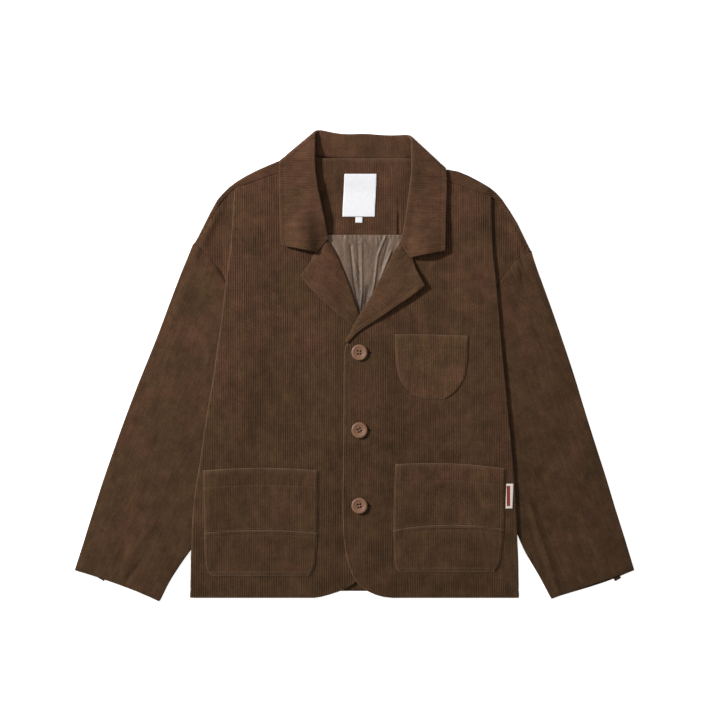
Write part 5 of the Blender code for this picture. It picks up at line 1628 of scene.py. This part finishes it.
class JACKET_OT_sewing(bpy.types.Operator):
    """Add the rows of stitches along the pockets, the front edge and the lapels"""
    bl_idname = "jacket.sewing"
    bl_label = "Sewing"
    bl_options = {"REGISTER", "UNDO"}

    def execute(self, context):
        lines = []

        def sew(piece, line):
            """Lays a line of points on a piece, seen from above."""
            carrier, above = bpy.data.objects[piece], 0.05
            hits = [carrier.ray_cast((x * MM, y * MM, above), -UP) for x, y in line]
            points = np.array([list(at) for found, at, _, _ in hits if found]) / MM
            if len(points) > 2:
                lines.append(points + [0, 0, 0.04])

        t = np.linspace(0.02, 0.98, 60)
        for name, rows in POCKET.items():
            for inset in (BORDER_STITCH, POCKET_STITCH):
                for piece in ("upper", "lower"):
                    sew(f"{name}_pocket_{piece}", patch_border(rows, inset))
            for piece, down in (("upper", -SEAM_STITCH["upper"]), ("lower", SEAM_STITCH["lower"])):
                y = bow(t, POCKET_SEAM[name]) - down
                left, right = sides_at(rows, y)
                sew(f"{name}_pocket_{piece}", np.c_[left * (1 - t) + right * t, y])
            y = rows["y"][-1] - POCKET_HEM + 3.4 * arch(t)
            sew(f"{name}_pocket_upper", np.c_[rows["left"][-1] * (1 - t) + rows["right"][-1] * t, y])
        for inset in (BORDER_STITCH, POCKET_STITCH):
            sew("chest_pocket", patch_border(POCKET_CHEST, inset))
        y = POCKET_CHEST["y"][-1] - CHEST_HEM + 0 * t
        sew("chest_pocket", np.c_[CHEST_STITCH_X[0] * (1 - t) + CHEST_STITCH_X[1] * t, y])
        y = np.linspace(*FRONT_STITCH_Y, 140)
        edge = curve(y, FRONT["left"]["y"], FRONT["left"]["edge"])
        sew("left_front", np.c_[edge + EDGE_STITCH, y])
        for name, rows in LAPEL.items():
            edge, roll = points_of(rows, "edge"), points_of(rows, "roll")
            sew(f"{name}_lapel", inside(edge, EDGE_STITCH, roll[2]))
        ride_in(stitches("sewing", lines, finish_of("brown_thread")))
        return {"FINISHED"}


class JACKET_OT_stage(bpy.types.Operator):
    """Add the pale floor, the soft light from the upper left and the camera above"""
    bl_idname = "jacket.stage"
    bl_label = "Stage"
    bl_options = {"REGISTER", "UNDO"}

    def execute(self, context):
        scene = context.scene
        mesh = bpy.data.meshes.new("floor")
        corners = [(FLOOR_HALF * a, FLOOR_HALF * b, 0) for a, b in ((-1, -1), (1, -1), (1, 1), (-1, 1))]
        mesh.from_pydata(corners, [], [(0, 1, 2, 3)])
        mesh.materials.append(finish_of("pale_floor"))
        floor = bpy.data.objects.new("floor", mesh)
        floor.location.z = -0.0004
        scene.collection.objects.link(floor)

        world = bpy.data.worlds.new("soft_room")
        world.use_nodes = True
        background = world.node_tree.nodes["Background"].inputs
        background["Color"].default_value = (1.0, 1.0, 1.0, 1.0)
        background["Strength"].default_value = ROOM_LIGHT
        scene.world = world
        scene.view_settings.view_transform = "Standard"
        lamp = bpy.data.lights.new("softbox", "AREA")
        lamp.size, lamp.energy = LAMP_SIZE, LAMP_WATTS
        light = bpy.data.objects.new("softbox", lamp)
        light.location = LAMP_PLACE
        light.rotation_euler = (-light.location).to_track_quat("-Z", "Y").to_euler()
        scene.collection.objects.link(light)

        view = bpy.data.cameras.new("camera")
        view.lens, view.sensor_width = VIEW_LENS, VIEW_SENSOR
        view.clip_start, view.clip_end = 0.1, 50.0
        camera = bpy.data.objects.new("camera", view)
        height = VIEW_WIDTH * VIEW_LENS / VIEW_SENSOR
        camera.location = (*VIEW_CENTRE, height + 0.006)
        scene.collection.objects.link(camera)
        scene.camera = camera
        return {"FINISHED"}


OPERATORS = (JACKET_OT_back, JACKET_OT_fronts, JACKET_OT_sleeves, JACKET_OT_inside, JACKET_OT_lapels,
             JACKET_OT_collar, JACKET_OT_pockets, JACKET_OT_buttons, JACKET_OT_sewing, JACKET_OT_stage)


class JACKET_PT_panel(bpy.types.Panel):
    """Sizes, colours and pieces of the jacket"""
    bl_idname = "JACKET_PT_panel"
    bl_label = "Corduroy jacket"
    bl_space_type = "VIEW_3D"
    bl_region_type = "UI"
    bl_category = "Jacket"

    def draw(self, context):
        for name in JacketSettings.__annotations__:
            self.layout.prop(context.scene.jacket, name)
        for operator in OPERATORS:
            self.layout.operator(operator.bl_idname)


CLASSES = (JacketSettings, *OPERATORS, JACKET_PT_panel)


def register():
    for each in CLASSES:
        bpy.utils.register_class(each)
    bpy.types.Scene.jacket = bpy.props.PointerProperty(type=JacketSettings)


def unregister():
    del bpy.types.Scene.jacket
    for each in reversed(CLASSES):
        bpy.utils.unregister_class(each)


def main():
    register()
    for operator in OPERATORS:
        group, name = operator.bl_idname.split(".")
        if getattr(getattr(bpy.ops, group), name)() != {"FINISHED"}:
            raise RuntimeError(f"{operator.bl_label} wasn't finished")


if __name__ == "__main__":
    main()
